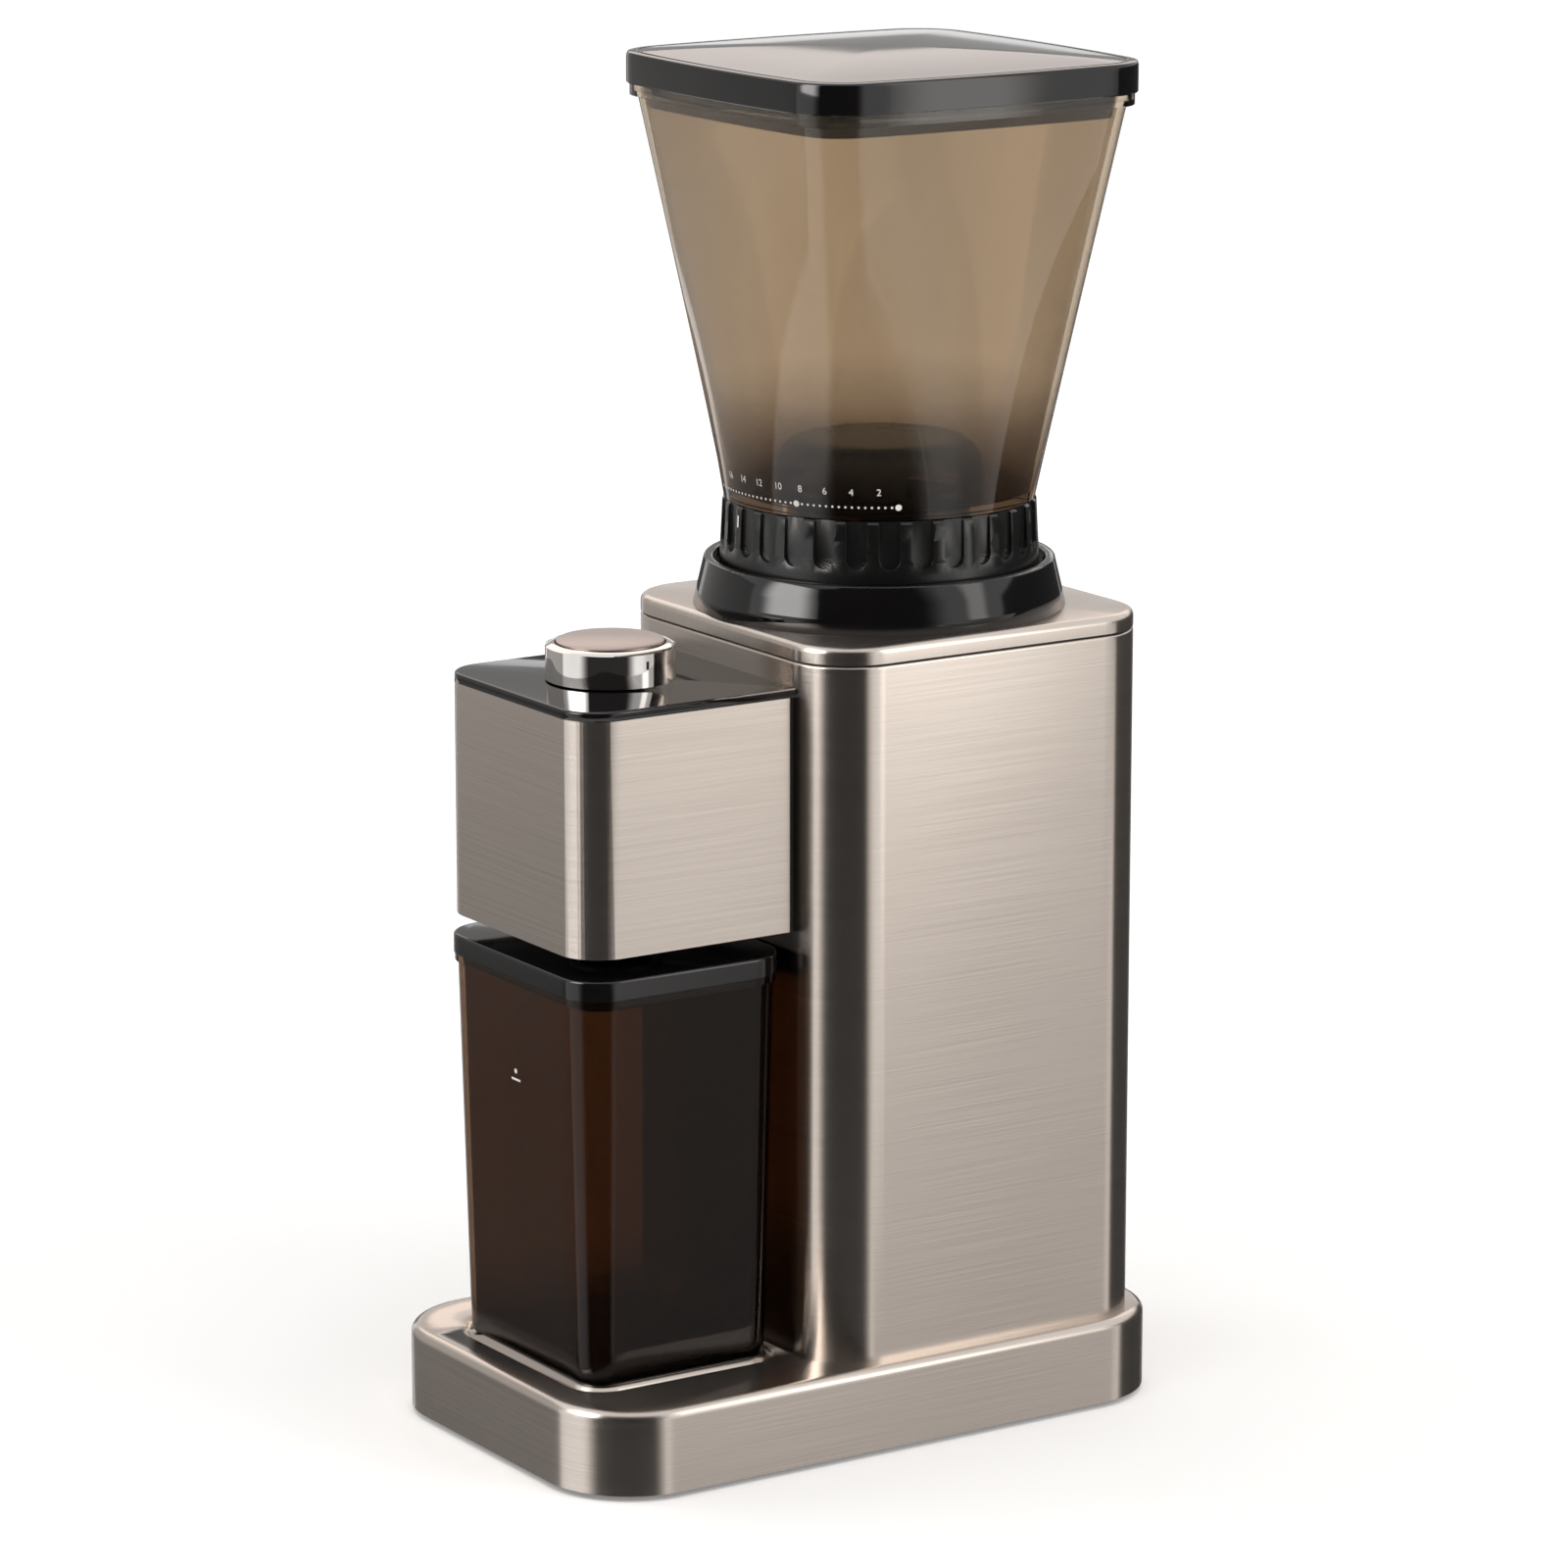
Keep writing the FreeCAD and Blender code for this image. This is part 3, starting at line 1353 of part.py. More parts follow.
def make_motor_can():
    body = new_body("motor_can", axis_y)
    bore = s.motor_shaft_radius + s.bearing_play
    boss_top = gearbox_bottom + s.motor_boss
    revolve(body, [
        (bore, motor_low),
        (s.motor_radius, motor_low),
        (s.motor_radius, gearbox_bottom),
        (s.motor_boss_radius, gearbox_bottom),
        (s.motor_boss_radius, boss_top),
        (bore, boss_top),
    ])
    rim = s.motor_radius.value
    shoulder = at_level(gearbox_bottom)
    round_edges(body, s.motor_edge, lambda edge: shoulder(edge) and abs(edge.Curve.Radius - rim) < SAME)
    holes = new_sketch(body, "XY_Plane", gearbox_bottom)
    for side in (-1.0, 1.0):
        draw_circle(holes, motor_screw_x() * side, 0.0, s.screw_radius)
    pocket(body, holes, s.gearbox_floor)


def make_motor_end_cap():
    body = new_body("motor_end_cap", axis_y)
    bore = s.motor_shaft_radius + s.bearing_play
    low = motor_low - s.motor_cap
    revolve(body, [
        (bore, low),
        (s.motor_boss_radius, low),
        (s.motor_cap_radius, low + s.motor_cap / 2),
        (s.motor_cap_radius, motor_low),
        (bore, motor_low),
    ])


def make_motor_screws():
    top = (gearbox_inside + s.screw_head).value
    places = [((motor_screw_x() * side).value, axis_y.value, top) for side in (-1.0, 1.0)]
    length = (s.screw_head + s.gearbox_floor * 2).value
    new_piece("motor_screws", screws_at(places, 0.0, length, s.screw_radius.value, -UP))


def make_motor_shaft():
    body = new_body("motor_shaft", axis_y)
    low = motor_low - s.motor_cap - s.gear_gap * 2
    radius = s.motor_shaft_radius
    revolve(body, [(0.0, low), (radius, low), (radius, pinion_high), (0.0, pinion_high)])


# Grounds chute and head
def make_chute():
    body = new_body("chute")
    start = axis_y - s.port_reach
    low = port_low - s.port_wall
    high = port_high + s.port_wall
    back = spout_y + s.spout_radius
    front = spout_y - s.spout_radius
    side = new_sketch(body, "YZ_Plane", -s.chute_width / 2)
    draw_outline(side, [
        (start, low),
        (back, low - s.chute_drop),
        (back, chute_low),
        (front, chute_low),
        (front, high - s.chute_drop),
        (back, high - s.chute_drop),
        (start, high),
    ])
    block = pad(body, side, s.chute_width)
    doc.recompute()
    open_ends = []
    for number, face in enumerate(block.Shape.Faces, 1):
        box = face.BoundBox
        at_mill = box.YLength < SAME and abs(box.YMax - start.value) < SAME
        at_spout = box.ZLength < SAME and abs(box.ZMin - chute_low.value) < SAME
        if at_mill or at_spout:
            open_ends.append(f"Face{number}")
    wall = body.newObject("PartDesign::Thickness", "chute_thickness")
    wall.Base = (block, open_ends)
    wall.Reversed = True
    wall.Join = 1
    bind(wall, "Value", s.chute_wall)


def make_spout():
    body = new_body("spout", spout_y)
    revolve(body, [
        (s.spout_bore_radius, head_bottom),
        (s.spout_radius, head_bottom),
        (s.spout_radius, head_floor_high),
        (s.spout_flange_radius, head_floor_high),
        (s.spout_flange_radius, chute_low),
        (s.spout_bore_radius, chute_low),
    ])


def draw_head_outline(sketch, inset, back):
    """Plan of the head, round at its two front corners, moved inwards by an inset."""
    half = s.head_width / 2 - inset
    draw_block(sketch, -half, half, head_front + inset, back, s.head_corner - inset, low_corners_only=True)


def make_head_body():
    body = new_body("head_body")
    core = new_sketch(body, "XY_Plane", head_floor_low)
    draw_head_outline(core, s.sheet, wrap_back)
    pad(body, core, head_top - head_floor_low)
    for inset, front, back in ((0.0, wrap_back, strip_back), (s.neck_inset, strip_back, tower_front)):
        half = s.head_width / 2 - inset
        strip = new_sketch(body, "XY_Plane", head_bottom)
        draw_block(strip, -half, half, front, back)
        pad(body, strip, s.head_height)
    cavity = new_sketch(body, "XY_Plane", head_top)
    draw_head_outline(cavity, s.sheet + s.head_wall, wrap_back)
    pocket(body, cavity, head_top - head_floor_high)
    window = new_sketch(body, "XZ_Plane", -tower_front)
    draw_window(window)
    for x, z in head_screw_places():
        draw_circle(window, x, z, s.screw_radius)
    pocket(body, window, s.head_neck + s.head_strip, along_normal=True)
    hole = new_sketch(body, "XY_Plane", head_floor_high)
    draw_circle(hole, 0.0, spout_y, s.spout_radius)
    pocket(body, hole, s.head_floor)


def make_head_wrap():
    body = new_body("head_wrap")
    outer = new_sketch(body, "XY_Plane", head_bottom)
    draw_head_outline(outer, 0.0, wrap_back)
    pad(body, outer, s.head_height)
    inner = new_sketch(body, "XY_Plane", head_bottom)
    draw_head_outline(inner, s.sheet, strip_back)
    pocket(body, inner, s.head_height, along_normal=True)


def board_post_places():
    """Posts that hold the timer board under the cap."""
    edge = s.board_post_radius * 3
    return four_places(s.timer_board_width - edge, s.timer_board_depth - edge)


def make_head_cap():
    body = new_body("head_cap")
    plan = new_sketch(body, "XY_Plane", head_top)
    draw_head_outline(plan, 0.0, tower_front)
    pad(body, plan, s.cap_height)
    on_top = at_level(cap_top)
    rear = tower_front.value
    round_edges(body, s.cap_edge, lambda edge: on_top(edge) and edge.BoundBox.YMin < rear - SAME)
    posts = new_sketch(body, "XY_Plane", board_top)
    for x, y in board_post_places():
        draw_circle(posts, x, dial_y + y, s.board_post_radius)
    pad(body, posts, s.board_drop)
    hole = new_sketch(body, "XY_Plane", cap_top)
    draw_circle(hole, 0.0, dial_y, s.dial_stem_radius + s.stem_gap)
    pocket(body, hole, s.cap_height)


def make_head_screws():
    y = (tower_front + s.sheet + s.screw_head).value
    places = [(x.value, y, z.value) for x, z in head_screw_places()]
    length = (s.screw_head + s.sheet + s.head_neck + s.head_strip / 2).value
    new_piece("head_screws", screws_at(places, 0.0, length, s.screw_radius.value, Vector(0, -1, 0)))


def make_timer_board():
    body = new_body("timer_board", dial_y, board_top - s.board_thickness)
    board = new_sketch(body, "XY_Plane")
    draw_centred_block(board, s.timer_board_width, s.timer_board_depth)
    pad(body, board, s.board_thickness)


stem_bottom = dial_low - s.dial_stem


def make_dial_encoder():
    """Round encoder with a ledge inside that carries the dial's hollow stem."""
    body = new_body("dial_encoder", dial_y, board_top)
    stem_bore = s.dial_stem_radius + s.stem_gap
    ledge = stem_bottom - board_top
    revolve(body, [
        (s.encoder_bore, 0.0),
        (s.encoder_radius, 0.0),
        (s.encoder_radius, s.encoder_height),
        (stem_bore, s.encoder_height),
        (stem_bore, ledge),
        (s.encoder_bore, ledge),
    ])


def make_start_switch():
    body = new_body("start_switch", dial_y, board_top)
    case = new_sketch(body, "XY_Plane")
    draw_centred_block(case, s.switch_size, s.switch_size)
    draw_circle(case, 0.0, 0.0, s.plunger_radius + s.bearing_play)
    pad(body, case, s.switch_height)


def make_switch_plunger():
    """Pin of the switch, which carries the button and rides down into the switch with it."""
    body = new_body("switch_plunger", dial_y)
    low = board_top + s.switch_height - s.plunger_insert
    revolve(body, [(0.0, low), (s.plunger_radius, low), (s.plunger_radius, stem_bottom), (0.0, stem_bottom)])


def make_dose_dial():
    body = new_body("dose_dial", dial_y)
    cup = s.dial_radius - s.dial_rim
    revolve(body, [
        (s.dial_stem_bore, stem_bottom),
        (s.dial_stem_radius, stem_bottom),
        (s.dial_stem_radius, dial_low),
        (s.dial_radius, dial_low),
        (s.dial_radius, dial_top - s.dial_bevel / 2),
        (s.dial_radius - s.dial_bevel, dial_top),
        (cup, dial_top),
        (cup, dial_floor),
        (s.dial_stem_bore, dial_floor),
    ])


def make_start_button():
    body = new_body("start_button", dial_y)
    edge = s.dial_radius - s.dial_rim - s.button_gap
    low = button_top - s.button_thickness
    revolve(body, [
        (0.0, stem_bottom),
        (s.button_stem_radius, stem_bottom),
        (s.button_stem_radius, low),
        (edge, low),
        (edge, button_top - s.button_crown),
        (edge - s.button_crown * 2, button_top),
        (0.0, button_top),
    ])


# Hopper, bean guard and hopper lid
def bulged_wire(inset, height):
    """The bulged square as a closed wire at a height."""
    edges = []
    for centre, radius, start, end in bulged_points(inset):
        circle = Part.Circle(centre + Vector(0, 0, height), UP, radius)
        edges.append(Part.ArcOfCircle(circle, start, end).toShape())
    return Part.Wire(edges)


def round_wire(radius, inset, height):
    """A circle cut into arcs at the same bearings as the bulged square's, so that the two loft cleanly."""
    edges = []
    circle = Part.Circle(Vector(0, 0, height), UP, radius)
    for centre, arc_radius, start, end in bulged_points(inset):
        bearings = []
        for angle in (start, end):
            point = centre + polar(arc_radius, angle)
            bearings.append(math.atan2(point.y, point.x))
        if bearings[1] < bearings[0]:
            bearings[1] += 2 * math.pi
        edges.append(Part.ArcOfCircle(circle, *bearings).toShape())
    return Part.Wire(edges)


def bulged_prism(inset, low, high):
    """The bulged square raised between two heights."""
    return Part.Face(bulged_wire(inset, low)).extrude(Vector(0, 0, high - low))


def make_hopper():
    height = s.hopper_height.value
    wall = s.hopper_wall.value
    foot = s.hopper_foot_radius.value
    outside = s.lid_overhang.value
    inside = outside + wall
    floor = s.hopper_floor.value
    outer = Part.makeLoft([round_wire(foot, outside, 0.0), bulged_wire(outside, height)], True, True)
    inner = Part.makeLoft([round_wire(foot - wall, inside, 0.0), bulged_wire(inside, height)], True, True)
    below = Part.makeCylinder(foot * 2, floor)
    hollow = inner.cut(below)
    rim = bulged_prism(s.rim_inset.value, height - s.rim_height.value, height)
    neck_bore = (mill_outer + s.neck_gap).value
    neck_outer = neck_bore + s.hopper_neck_wall.value
    neck_drop = s.hopper_neck.value
    neck = Part.makeCylinder(neck_outer, neck_drop, Vector(0, 0, -neck_drop))
    neck = bored(neck, neck_bore, -neck_drop, neck_drop)
    shell = outer.fuse([rim, neck]).cut(hollow)
    new_piece("hopper", bored(shell, s.hopper_mouth_radius.value, 0.0, floor), axis_y, hopper_bottom)


def make_bean_guard():
    body = new_body("bean_guard", axis_y, hopper_inside)
    top = s.guard_side + s.guard_crown
    inner = s.guard_radius - s.guard_wall
    outline = revolve(body, [
        (inner, 0.0),
        (s.guard_radius, 0.0),
        (s.guard_radius, top),
        (0.0, top),
        (0.0, top - s.guard_wall),
        (inner, top - s.guard_wall),
    ])
    round_edges(body, s.guard_round, at_level(top))
    round_edges(body, s.guard_round - s.guard_wall, at_level(top - s.guard_wall))
    start = s.guard_radius + s.guard_wall
    window = new_sketch(body, "XZ_Plane", start)
    half = s.guard_window_width / 2
    draw_block(window, -half, half, 0.0, s.guard_window_height)
    cut = pocket(body, window, s.guard_wall * 4)
    repeat_round(body, cut, outline, 4.0)


plug_inset = s.lid_overhang + s.hopper_wall + s.lid_plug_gap


def make_hopper_lid():
    body = new_body("hopper_lid", axis_y)
    band = new_sketch(body, "XY_Plane", hopper_top)
    draw_bulged_square(band, 0.0)
    pad(body, band, s.lid_band)
    shoulder = new_sketch(body, "XY_Plane", hopper_top + s.lid_band)
    draw_bulged_square(shoulder, s.lid_shoulder)
    crown = new_sketch(body, "XY_Plane", hopper_top + s.lid_band + s.lid_crown)
    draw_bulged_square(crown, s.lid_crown_inset)
    loft(body, "AdditiveLoft", [shoulder, crown])
    hollow = new_sketch(body, "XY_Plane", hopper_top)
    draw_bulged_square(hollow, s.lid_wall)
    pocket(body, hollow, s.lid_band - s.lid_wall, along_normal=True)
    plug = new_sketch(body, "XY_Plane", hopper_top - s.lid_plug)
    draw_bulged_square(plug, plug_inset)
    draw_bulged_square(plug, plug_inset + s.lid_wall)
    pad(body, plug, s.lid_plug + s.lid_band - s.lid_wall)


def make_hopper_lid_seal():
    body = new_body("hopper_lid_seal", axis_y)
    ring = new_sketch(body, "XY_Plane", hopper_top - s.seal_height - s.seal_drop)
    draw_bulged_square(ring, s.lid_overhang + s.hopper_wall + s.seal_gap)
    draw_bulged_square(ring, plug_inset)
    pad(body, ring, s.seal_height)


# Grounds container and its lid
def draw_container(sketch, margin):
    """Container plan at its mouth, grown by a margin on each side."""
    draw_centred_block(sketch, s.container_width + margin * 2, s.container_depth + margin * 2,
                       s.container_corner + margin)


def flare(feature):
    """Leans the sides of a pad or pocket outwards by the container's draft."""
    feature.setExpression("TaperAngle", f"atan({s.container_draft.text} / {s.container_height.text})")


def make_grounds_container():
    body = new_body("grounds_container", container_y, base_top)
    foot = new_sketch(body, "XY_Plane")
    draw_container(foot, -s.container_draft)
    flare(pad(body, foot, s.container_height))
    round_edges(body, s.container_edge, at_level(0.0))
    rim = new_sketch(body, "XY_Plane", s.container_height - s.container_rim_height)
    draw_container(rim, s.container_rim)
    pad(body, rim, s.container_rim_height)
    floor = new_sketch(body, "XY_Plane", s.container_floor)
    floor_draft = s.container_draft * (s.container_height - s.container_floor) / s.container_height
    draw_container(floor, -(floor_draft + s.container_wall))
    flare(pocket(body, floor, s.container_height - s.container_floor, along_normal=True))


def make_container_lid():
    body = new_body("container_lid", container_y, container_top)
    underside = s.cover_band - s.cover_top
    band = new_sketch(body, "XY_Plane")
    draw_container(band, s.cover_overhang)
    pad(body, band, s.cover_band)
    round_edges(body, s.cover_edge, at_level(s.cover_band))
    hollow = new_sketch(body, "XY_Plane")
    draw_container(hollow, s.cover_overhang - s.cover_wall)
    pocket(body, hollow, underside, along_normal=True)
    plug = new_sketch(body, "XY_Plane", -s.cover_plug)
    plug_margin = s.container_wall + s.cover_plug_gap
    for margin in (plug_margin, plug_margin + s.cover_wall):
        draw_container(plug, -margin)
    pad(body, plug, s.cover_plug + underside)
    mouth_y = spout_y - container_y
    skirt = new_sketch(body, "XY_Plane", -s.cover_skirt)
    draw_circle(skirt, 0.0, mouth_y, s.cover_mouth_radius)
    draw_circle(skirt, 0.0, mouth_y, s.cover_mouth_radius + s.cover_wall)
    pad(body, skirt, s.cover_skirt + underside)
    mouth = new_sketch(body, "XY_Plane", s.cover_band)
    draw_circle(mouth, 0.0, mouth_y, s.cover_mouth_radius)
    pocket(body, mouth, s.cover_band)


def make_container_seal():
    body = new_body("container_seal", container_y, container_top)
    ring = new_sketch(body, "XY_Plane", s.cover_seal_gap - s.cover_plug)
    plug_margin = s.container_wall + s.cover_plug_gap
    for margin in (s.container_wall + s.cover_seal_gap, plug_margin):
        draw_container(ring, -margin)
    pad(body, ring, s.cover_seal)


make_base_shell()
make_base_plate()
make_rubber_feet()
make_base_screws()
make_frame_screws()
make_cord_gland()
make_power_board()
make_tower_shell()
make_top_gasket()
make_top_plate()
make_inner_frame()
make_collar()
make_adjust_ring()
make_mill_housing()
make_mill_screws()
make_burr_carrier()
make_ring_burr()
make_cone_burr()
make_sweeper()
make_drive_shaft()
make_burr_screw()
make_bearing("upper_bearing", mill_bottom)
make_bearing("lower_bearing", cover_bottom)
make_output_gear()
make_compound_gear()
make_motor_pinion()
make_gearbox_cover()
make_gearbox_case()
make_gearbox_screws()
make_countershaft_pin()
make_motor_can()
make_motor_end_cap()
make_motor_screws()
make_motor_shaft()
make_chute()
make_spout()
make_head_body()
make_head_wrap()
make_head_cap()
make_head_screws()
make_timer_board()
make_dial_encoder()
make_start_switch()
make_switch_plunger()
make_dose_dial()
make_start_button()
make_hopper()
make_bean_guard()
make_hopper_lid()
make_hopper_lid_seal()
make_grounds_container()
make_container_lid()
make_container_seal()
doc.recompute()

# Every object has to be sound before anything is written
for item in doc.Objects:
    if {"Invalid", "Error"} & set(item.State):
        raise RuntimeError(f"{item.Label} did not build: {item.State}")
for piece in pieces:
    if piece.Shape.isNull() or not piece.Shape.isValid() or not piece.Shape.Solids:
        raise RuntimeError(f"{piece.Label} has no sound solid")

os.makedirs("parts", exist_ok=True)
for piece in pieces:
    piece.Shape.exportStep(f"parts/{piece.Label}.step")
    print(f"{piece.Label}: {len(piece.Shape.Solids)} solid(s), {piece.Shape.Volume / 1000:.2f} cm3")
print(f"{len(pieces)} pieces")
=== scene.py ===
# %% [markdown]
# Burr coffee grinder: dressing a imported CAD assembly.
# The solids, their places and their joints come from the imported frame. This lesson gives them finishes, soft
# edges, printed marks, a camera at the photograph's angle and a plain studio. Lengths are in metres.

# %% Load the frame
import json
import math

import bmesh
import bpy
from mathutils import Matrix, Vector
from mathutils.bvhtree import BVHTree


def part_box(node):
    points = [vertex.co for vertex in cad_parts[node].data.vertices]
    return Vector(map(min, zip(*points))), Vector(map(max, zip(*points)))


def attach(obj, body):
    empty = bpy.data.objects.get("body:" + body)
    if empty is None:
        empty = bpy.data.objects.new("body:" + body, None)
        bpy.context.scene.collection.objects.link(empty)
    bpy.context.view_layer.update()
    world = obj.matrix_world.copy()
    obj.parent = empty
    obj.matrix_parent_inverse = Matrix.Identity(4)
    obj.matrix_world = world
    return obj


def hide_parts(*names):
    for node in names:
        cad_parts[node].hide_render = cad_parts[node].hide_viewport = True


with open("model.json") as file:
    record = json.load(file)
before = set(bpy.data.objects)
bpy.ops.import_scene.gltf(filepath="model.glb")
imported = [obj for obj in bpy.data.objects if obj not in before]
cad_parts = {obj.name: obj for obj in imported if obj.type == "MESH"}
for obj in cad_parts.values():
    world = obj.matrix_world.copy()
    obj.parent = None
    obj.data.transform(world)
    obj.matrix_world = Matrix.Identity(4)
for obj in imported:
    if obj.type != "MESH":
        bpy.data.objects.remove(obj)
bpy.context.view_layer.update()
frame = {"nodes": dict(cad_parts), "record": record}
nodes = frame["nodes"]
body_of_node = {node: body for body, group in frame["record"]["behaviour"]["bodies"].items() for node in group}
MM = 0.001

# %% [markdown]
# Camera. The photograph looks at the front right corner from a little above, with a long lens, so upright edges
# stay almost parallel. Such a camera is set by its place, the way it looks and its lens. Writing its three axes
# into a matrix is the plainest way, because the angles were measured and need no target object.

# %% Camera at the photograph's angle
CAMERA_PLACE = Vector((1.58630, -1.02794, 0.62256))
CAMERA_AZIMUTH = math.radians(57.01)
CAMERA_ELEVATION = math.radians(12.79)
LENS_MM = 146.975
SENSOR_MM = 36.0
FAR_CLIP = 50.0
forward = Vector((
    -math.sin(CAMERA_AZIMUTH) * math.cos(CAMERA_ELEVATION),
    math.cos(CAMERA_AZIMUTH) * math.cos(CAMERA_ELEVATION),
    -math.sin(CAMERA_ELEVATION),
))
right = Vector((math.cos(CAMERA_AZIMUTH), math.sin(CAMERA_AZIMUTH), 0.0))
upward = right.cross(forward)
camera = bpy.data.objects.new("camera", bpy.data.cameras.new("camera"))
camera.data.lens = LENS_MM
camera.data.sensor_width = SENSOR_MM
camera.data.clip_end = FAR_CLIP
turn = Matrix((right, upward, -forward)).transposed()
camera.matrix_world = Matrix.Translation(CAMERA_PLACE) @ turn.to_4x4()
bpy.context.scene.collection.objects.link(camera)
bpy.context.scene.camera = camera
print("camera distance", round(CAMERA_PLACE.length, 3))

# %% [markdown]
# Colours are written as sRGB hex values, as read from a paint chart, and turned to the linear values that shaders
# work in. One small function adds a shader node with its settings and links, so each material reads as a list.

# %% Helpers for materials
def linear(code):
    """Linear RGBA of an sRGB hex colour."""
    parts = [int(code[i:i + 2], 16) / 255 for i in (1, 3, 5)]
    values = [c / 12.92 if c <= 0.04045 else ((c + 0.055) / 1.055) ** 2.4 for c in parts]
    return (*values, 1.0)


def add_node(tree, kind, settings=(), inputs=(), links=()):
    """Adds a node, sets its properties and input values, and links outputs of other nodes to its inputs."""
    node = tree.nodes.new(kind)
    for name, value in dict(settings).items():
        setattr(node, name, value)
    for name, value in dict(inputs).items():
        node.inputs[name].default_value = value
    for name, source in dict(links).items():
        tree.links.new(source, node.inputs[name])
    return node


def new_material(name, **inputs):
    """Material with one Principled shader, and its tree, shader and object coordinates."""
    material = bpy.data.materials.new(name)
    material.use_nodes = True
    tree = material.node_tree
    shader = tree.nodes["Principled BSDF"]
    for key, value in inputs.items():
        shader.inputs[key.replace("_", " ")].default_value = value
    place = add_node(tree, "ShaderNodeTexCoord").outputs["Object"]
    return material, tree, shader, place


def colour_between(tree, factor, dark, light):
    """Colour that runs from one hex value to another with a factor."""
    ramp = add_node(tree, "ShaderNodeValToRGB", links={"Fac": factor})
    ramp.color_ramp.elements[0].color = linear(dark)
    ramp.color_ramp.elements[1].color = linear(light)
    return ramp.outputs["Color"]


def value_between(tree, factor, low, high):
    """Number that runs from low to high with a factor."""
    spread = add_node(tree, "ShaderNodeMapRange", inputs={"To Min": low, "To Max": high}, links={"Value": factor})
    return spread.outputs["Result"]


def grain(tree, place, size_mm, stretch=(1.0, 1.0, 1.0), detail=3.0):
    """Noise whose grains are about a size across, drawn out along some axes by a stretch."""
    scale = [1.0 / (size_mm * MM * part) for part in stretch]
    mapped = add_node(tree, "ShaderNodeMapping", inputs={"Scale": scale}, links={"Vector": place})
    noise = add_node(tree, "ShaderNodeTexNoise", inputs={"Scale": 1.0, "Detail": detail},
                     links={"Vector": mapped.outputs["Vector"]})
    return noise.outputs["Fac"]


def bump(tree, shader, height, depth_mm, strength):
    """Fine relief on a shader, from a height pattern and its real depth."""
    relief = add_node(tree, "ShaderNodeBump", inputs={"Strength": strength, "Distance": depth_mm * MM},
                      links={"Height": height})
    tree.links.new(relief.outputs["Normal"], shader.inputs["Normal"])


# %% [markdown]
# Brushed stainless steel. The sheet is drawn along an abrasive belt before it is bent, so long hairlines run level
# round the tower, and catch light as fine streaks. Noise drawn out along the level axes gives such hairlines. They
# are about a tenth of a millimetre wide on the real sheet, and drawn a few times coarser here so that they show.

# %% Steel finishes
HAIRLINE_MM = 0.45
HAIRLINE_LENGTH = 150.0
HAIRLINE_SHARE = 0.7
PATCH_MM = 30.0
PATCH_STRETCH = (3.0, 3.0, 1.0)
SHEET_ROUGHNESS = 0.24


def brushed_steel(name, along, roughness):
    """Steel sheet with hairlines along some axes and faint broad patches of tone."""
    material, tree, shader, place = new_material(name, Metallic=1.0, Anisotropic=0.75, Anisotropic_Rotation=0.25)
    hairlines = grain(tree, place, HAIRLINE_MM, along, 3.0)
    patches = grain(tree, place, PATCH_MM, PATCH_STRETCH, 2.0)
    patch_part = value_between(tree, patches, 0.0, 1.0 - HAIRLINE_SHARE)
    mixed = add_node(tree, "ShaderNodeMath", {"operation": "MULTIPLY_ADD"}, {1: HAIRLINE_SHARE},
                     {0: hairlines, 2: patch_part}).outputs["Value"]
    tree.links.new(colour_between(tree, mixed, "#C0B6AD", "#DDD3CA"), shader.inputs["Base Color"])
    tree.links.new(value_between(tree, hairlines, roughness - 0.03, roughness + 0.04), shader.inputs["Roughness"])
    level = add_node(tree, "ShaderNodeTangent", {"direction_type": "RADIAL", "axis": "Z"})
    tree.links.new(level.outputs["Tangent"], shader.inputs["Tangent"])
    bump(tree, shader, hairlines, 0.005, 0.07)
    return material


LEVEL_HAIRLINES = (HAIRLINE_LENGTH, HAIRLINE_LENGTH, 1.0)
LENGTHWISE_HAIRLINES = (1.0, HAIRLINE_LENGTH, HAIRLINE_LENGTH)
# Warm grey sheet with level hairlines and upright bands of light, the main surface of the object.
tower_steel = brushed_steel("brushed_stainless_level", LEVEL_HAIRLINES, SHEET_ROUGHNESS)
# The same sheet brushed from side to side, so that the top plate shades apart from the tower.
plate_steel = brushed_steel("brushed_stainless_lengthwise", LENGTHWISE_HAIRLINES, SHEET_ROUGHNESS)


def plain_metal(name, dark, light, roughness, size_mm):
    """Bare metal with a faint unevenness of tone and gloss."""
    material, tree, shader, place = new_material(name, Metallic=1.0)
    spots = grain(tree, place, size_mm)
    tree.links.new(colour_between(tree, spots, dark, light), shader.inputs["Base Color"])
    tree.links.new(value_between(tree, spots, roughness * 0.8, roughness * 1.25), shader.inputs["Roughness"])
    bump(tree, shader, spots, 0.01, 0.08)
    return material


# Bright mirror with hard black and white bands, on the dial.
chrome = plain_metal("polished_chrome_plate", "#D8D4D0", "#EDEAE7", 0.05, 9.0)
# Soft pinkish grey disc without a mirror image, the button.
satin_aluminium = plain_metal("satin_anodised_aluminium", "#A89A94", "#BDB0AA", 0.34, 0.8)
# Cool bright grey of screws and shafts.
zinc_steel = plain_metal("zinc_plated_steel", "#A9AAAB", "#C4C5C4", 0.30, 1.5)
# Darker grey with ground facets, so that the teeth read.
burr_steel = plain_metal("ground_tool_steel", "#83858A", "#A2A4A7", 0.28, 0.9)
# Dull pale grey with a slight skin, of housings.
cast_aluminium = plain_metal("die_cast_aluminium", "#A6A7A6", "#BFC0BE", 0.45, 1.8)
# Mid grey rolled can.
motor_steel = plain_metal("plated_motor_steel", "#77787B", "#8F9093", 0.35, 3.0)
print("metals", [metal.name for metal in (tower_steel, plate_steel, chrome, satin_aluminium, zinc_steel)])

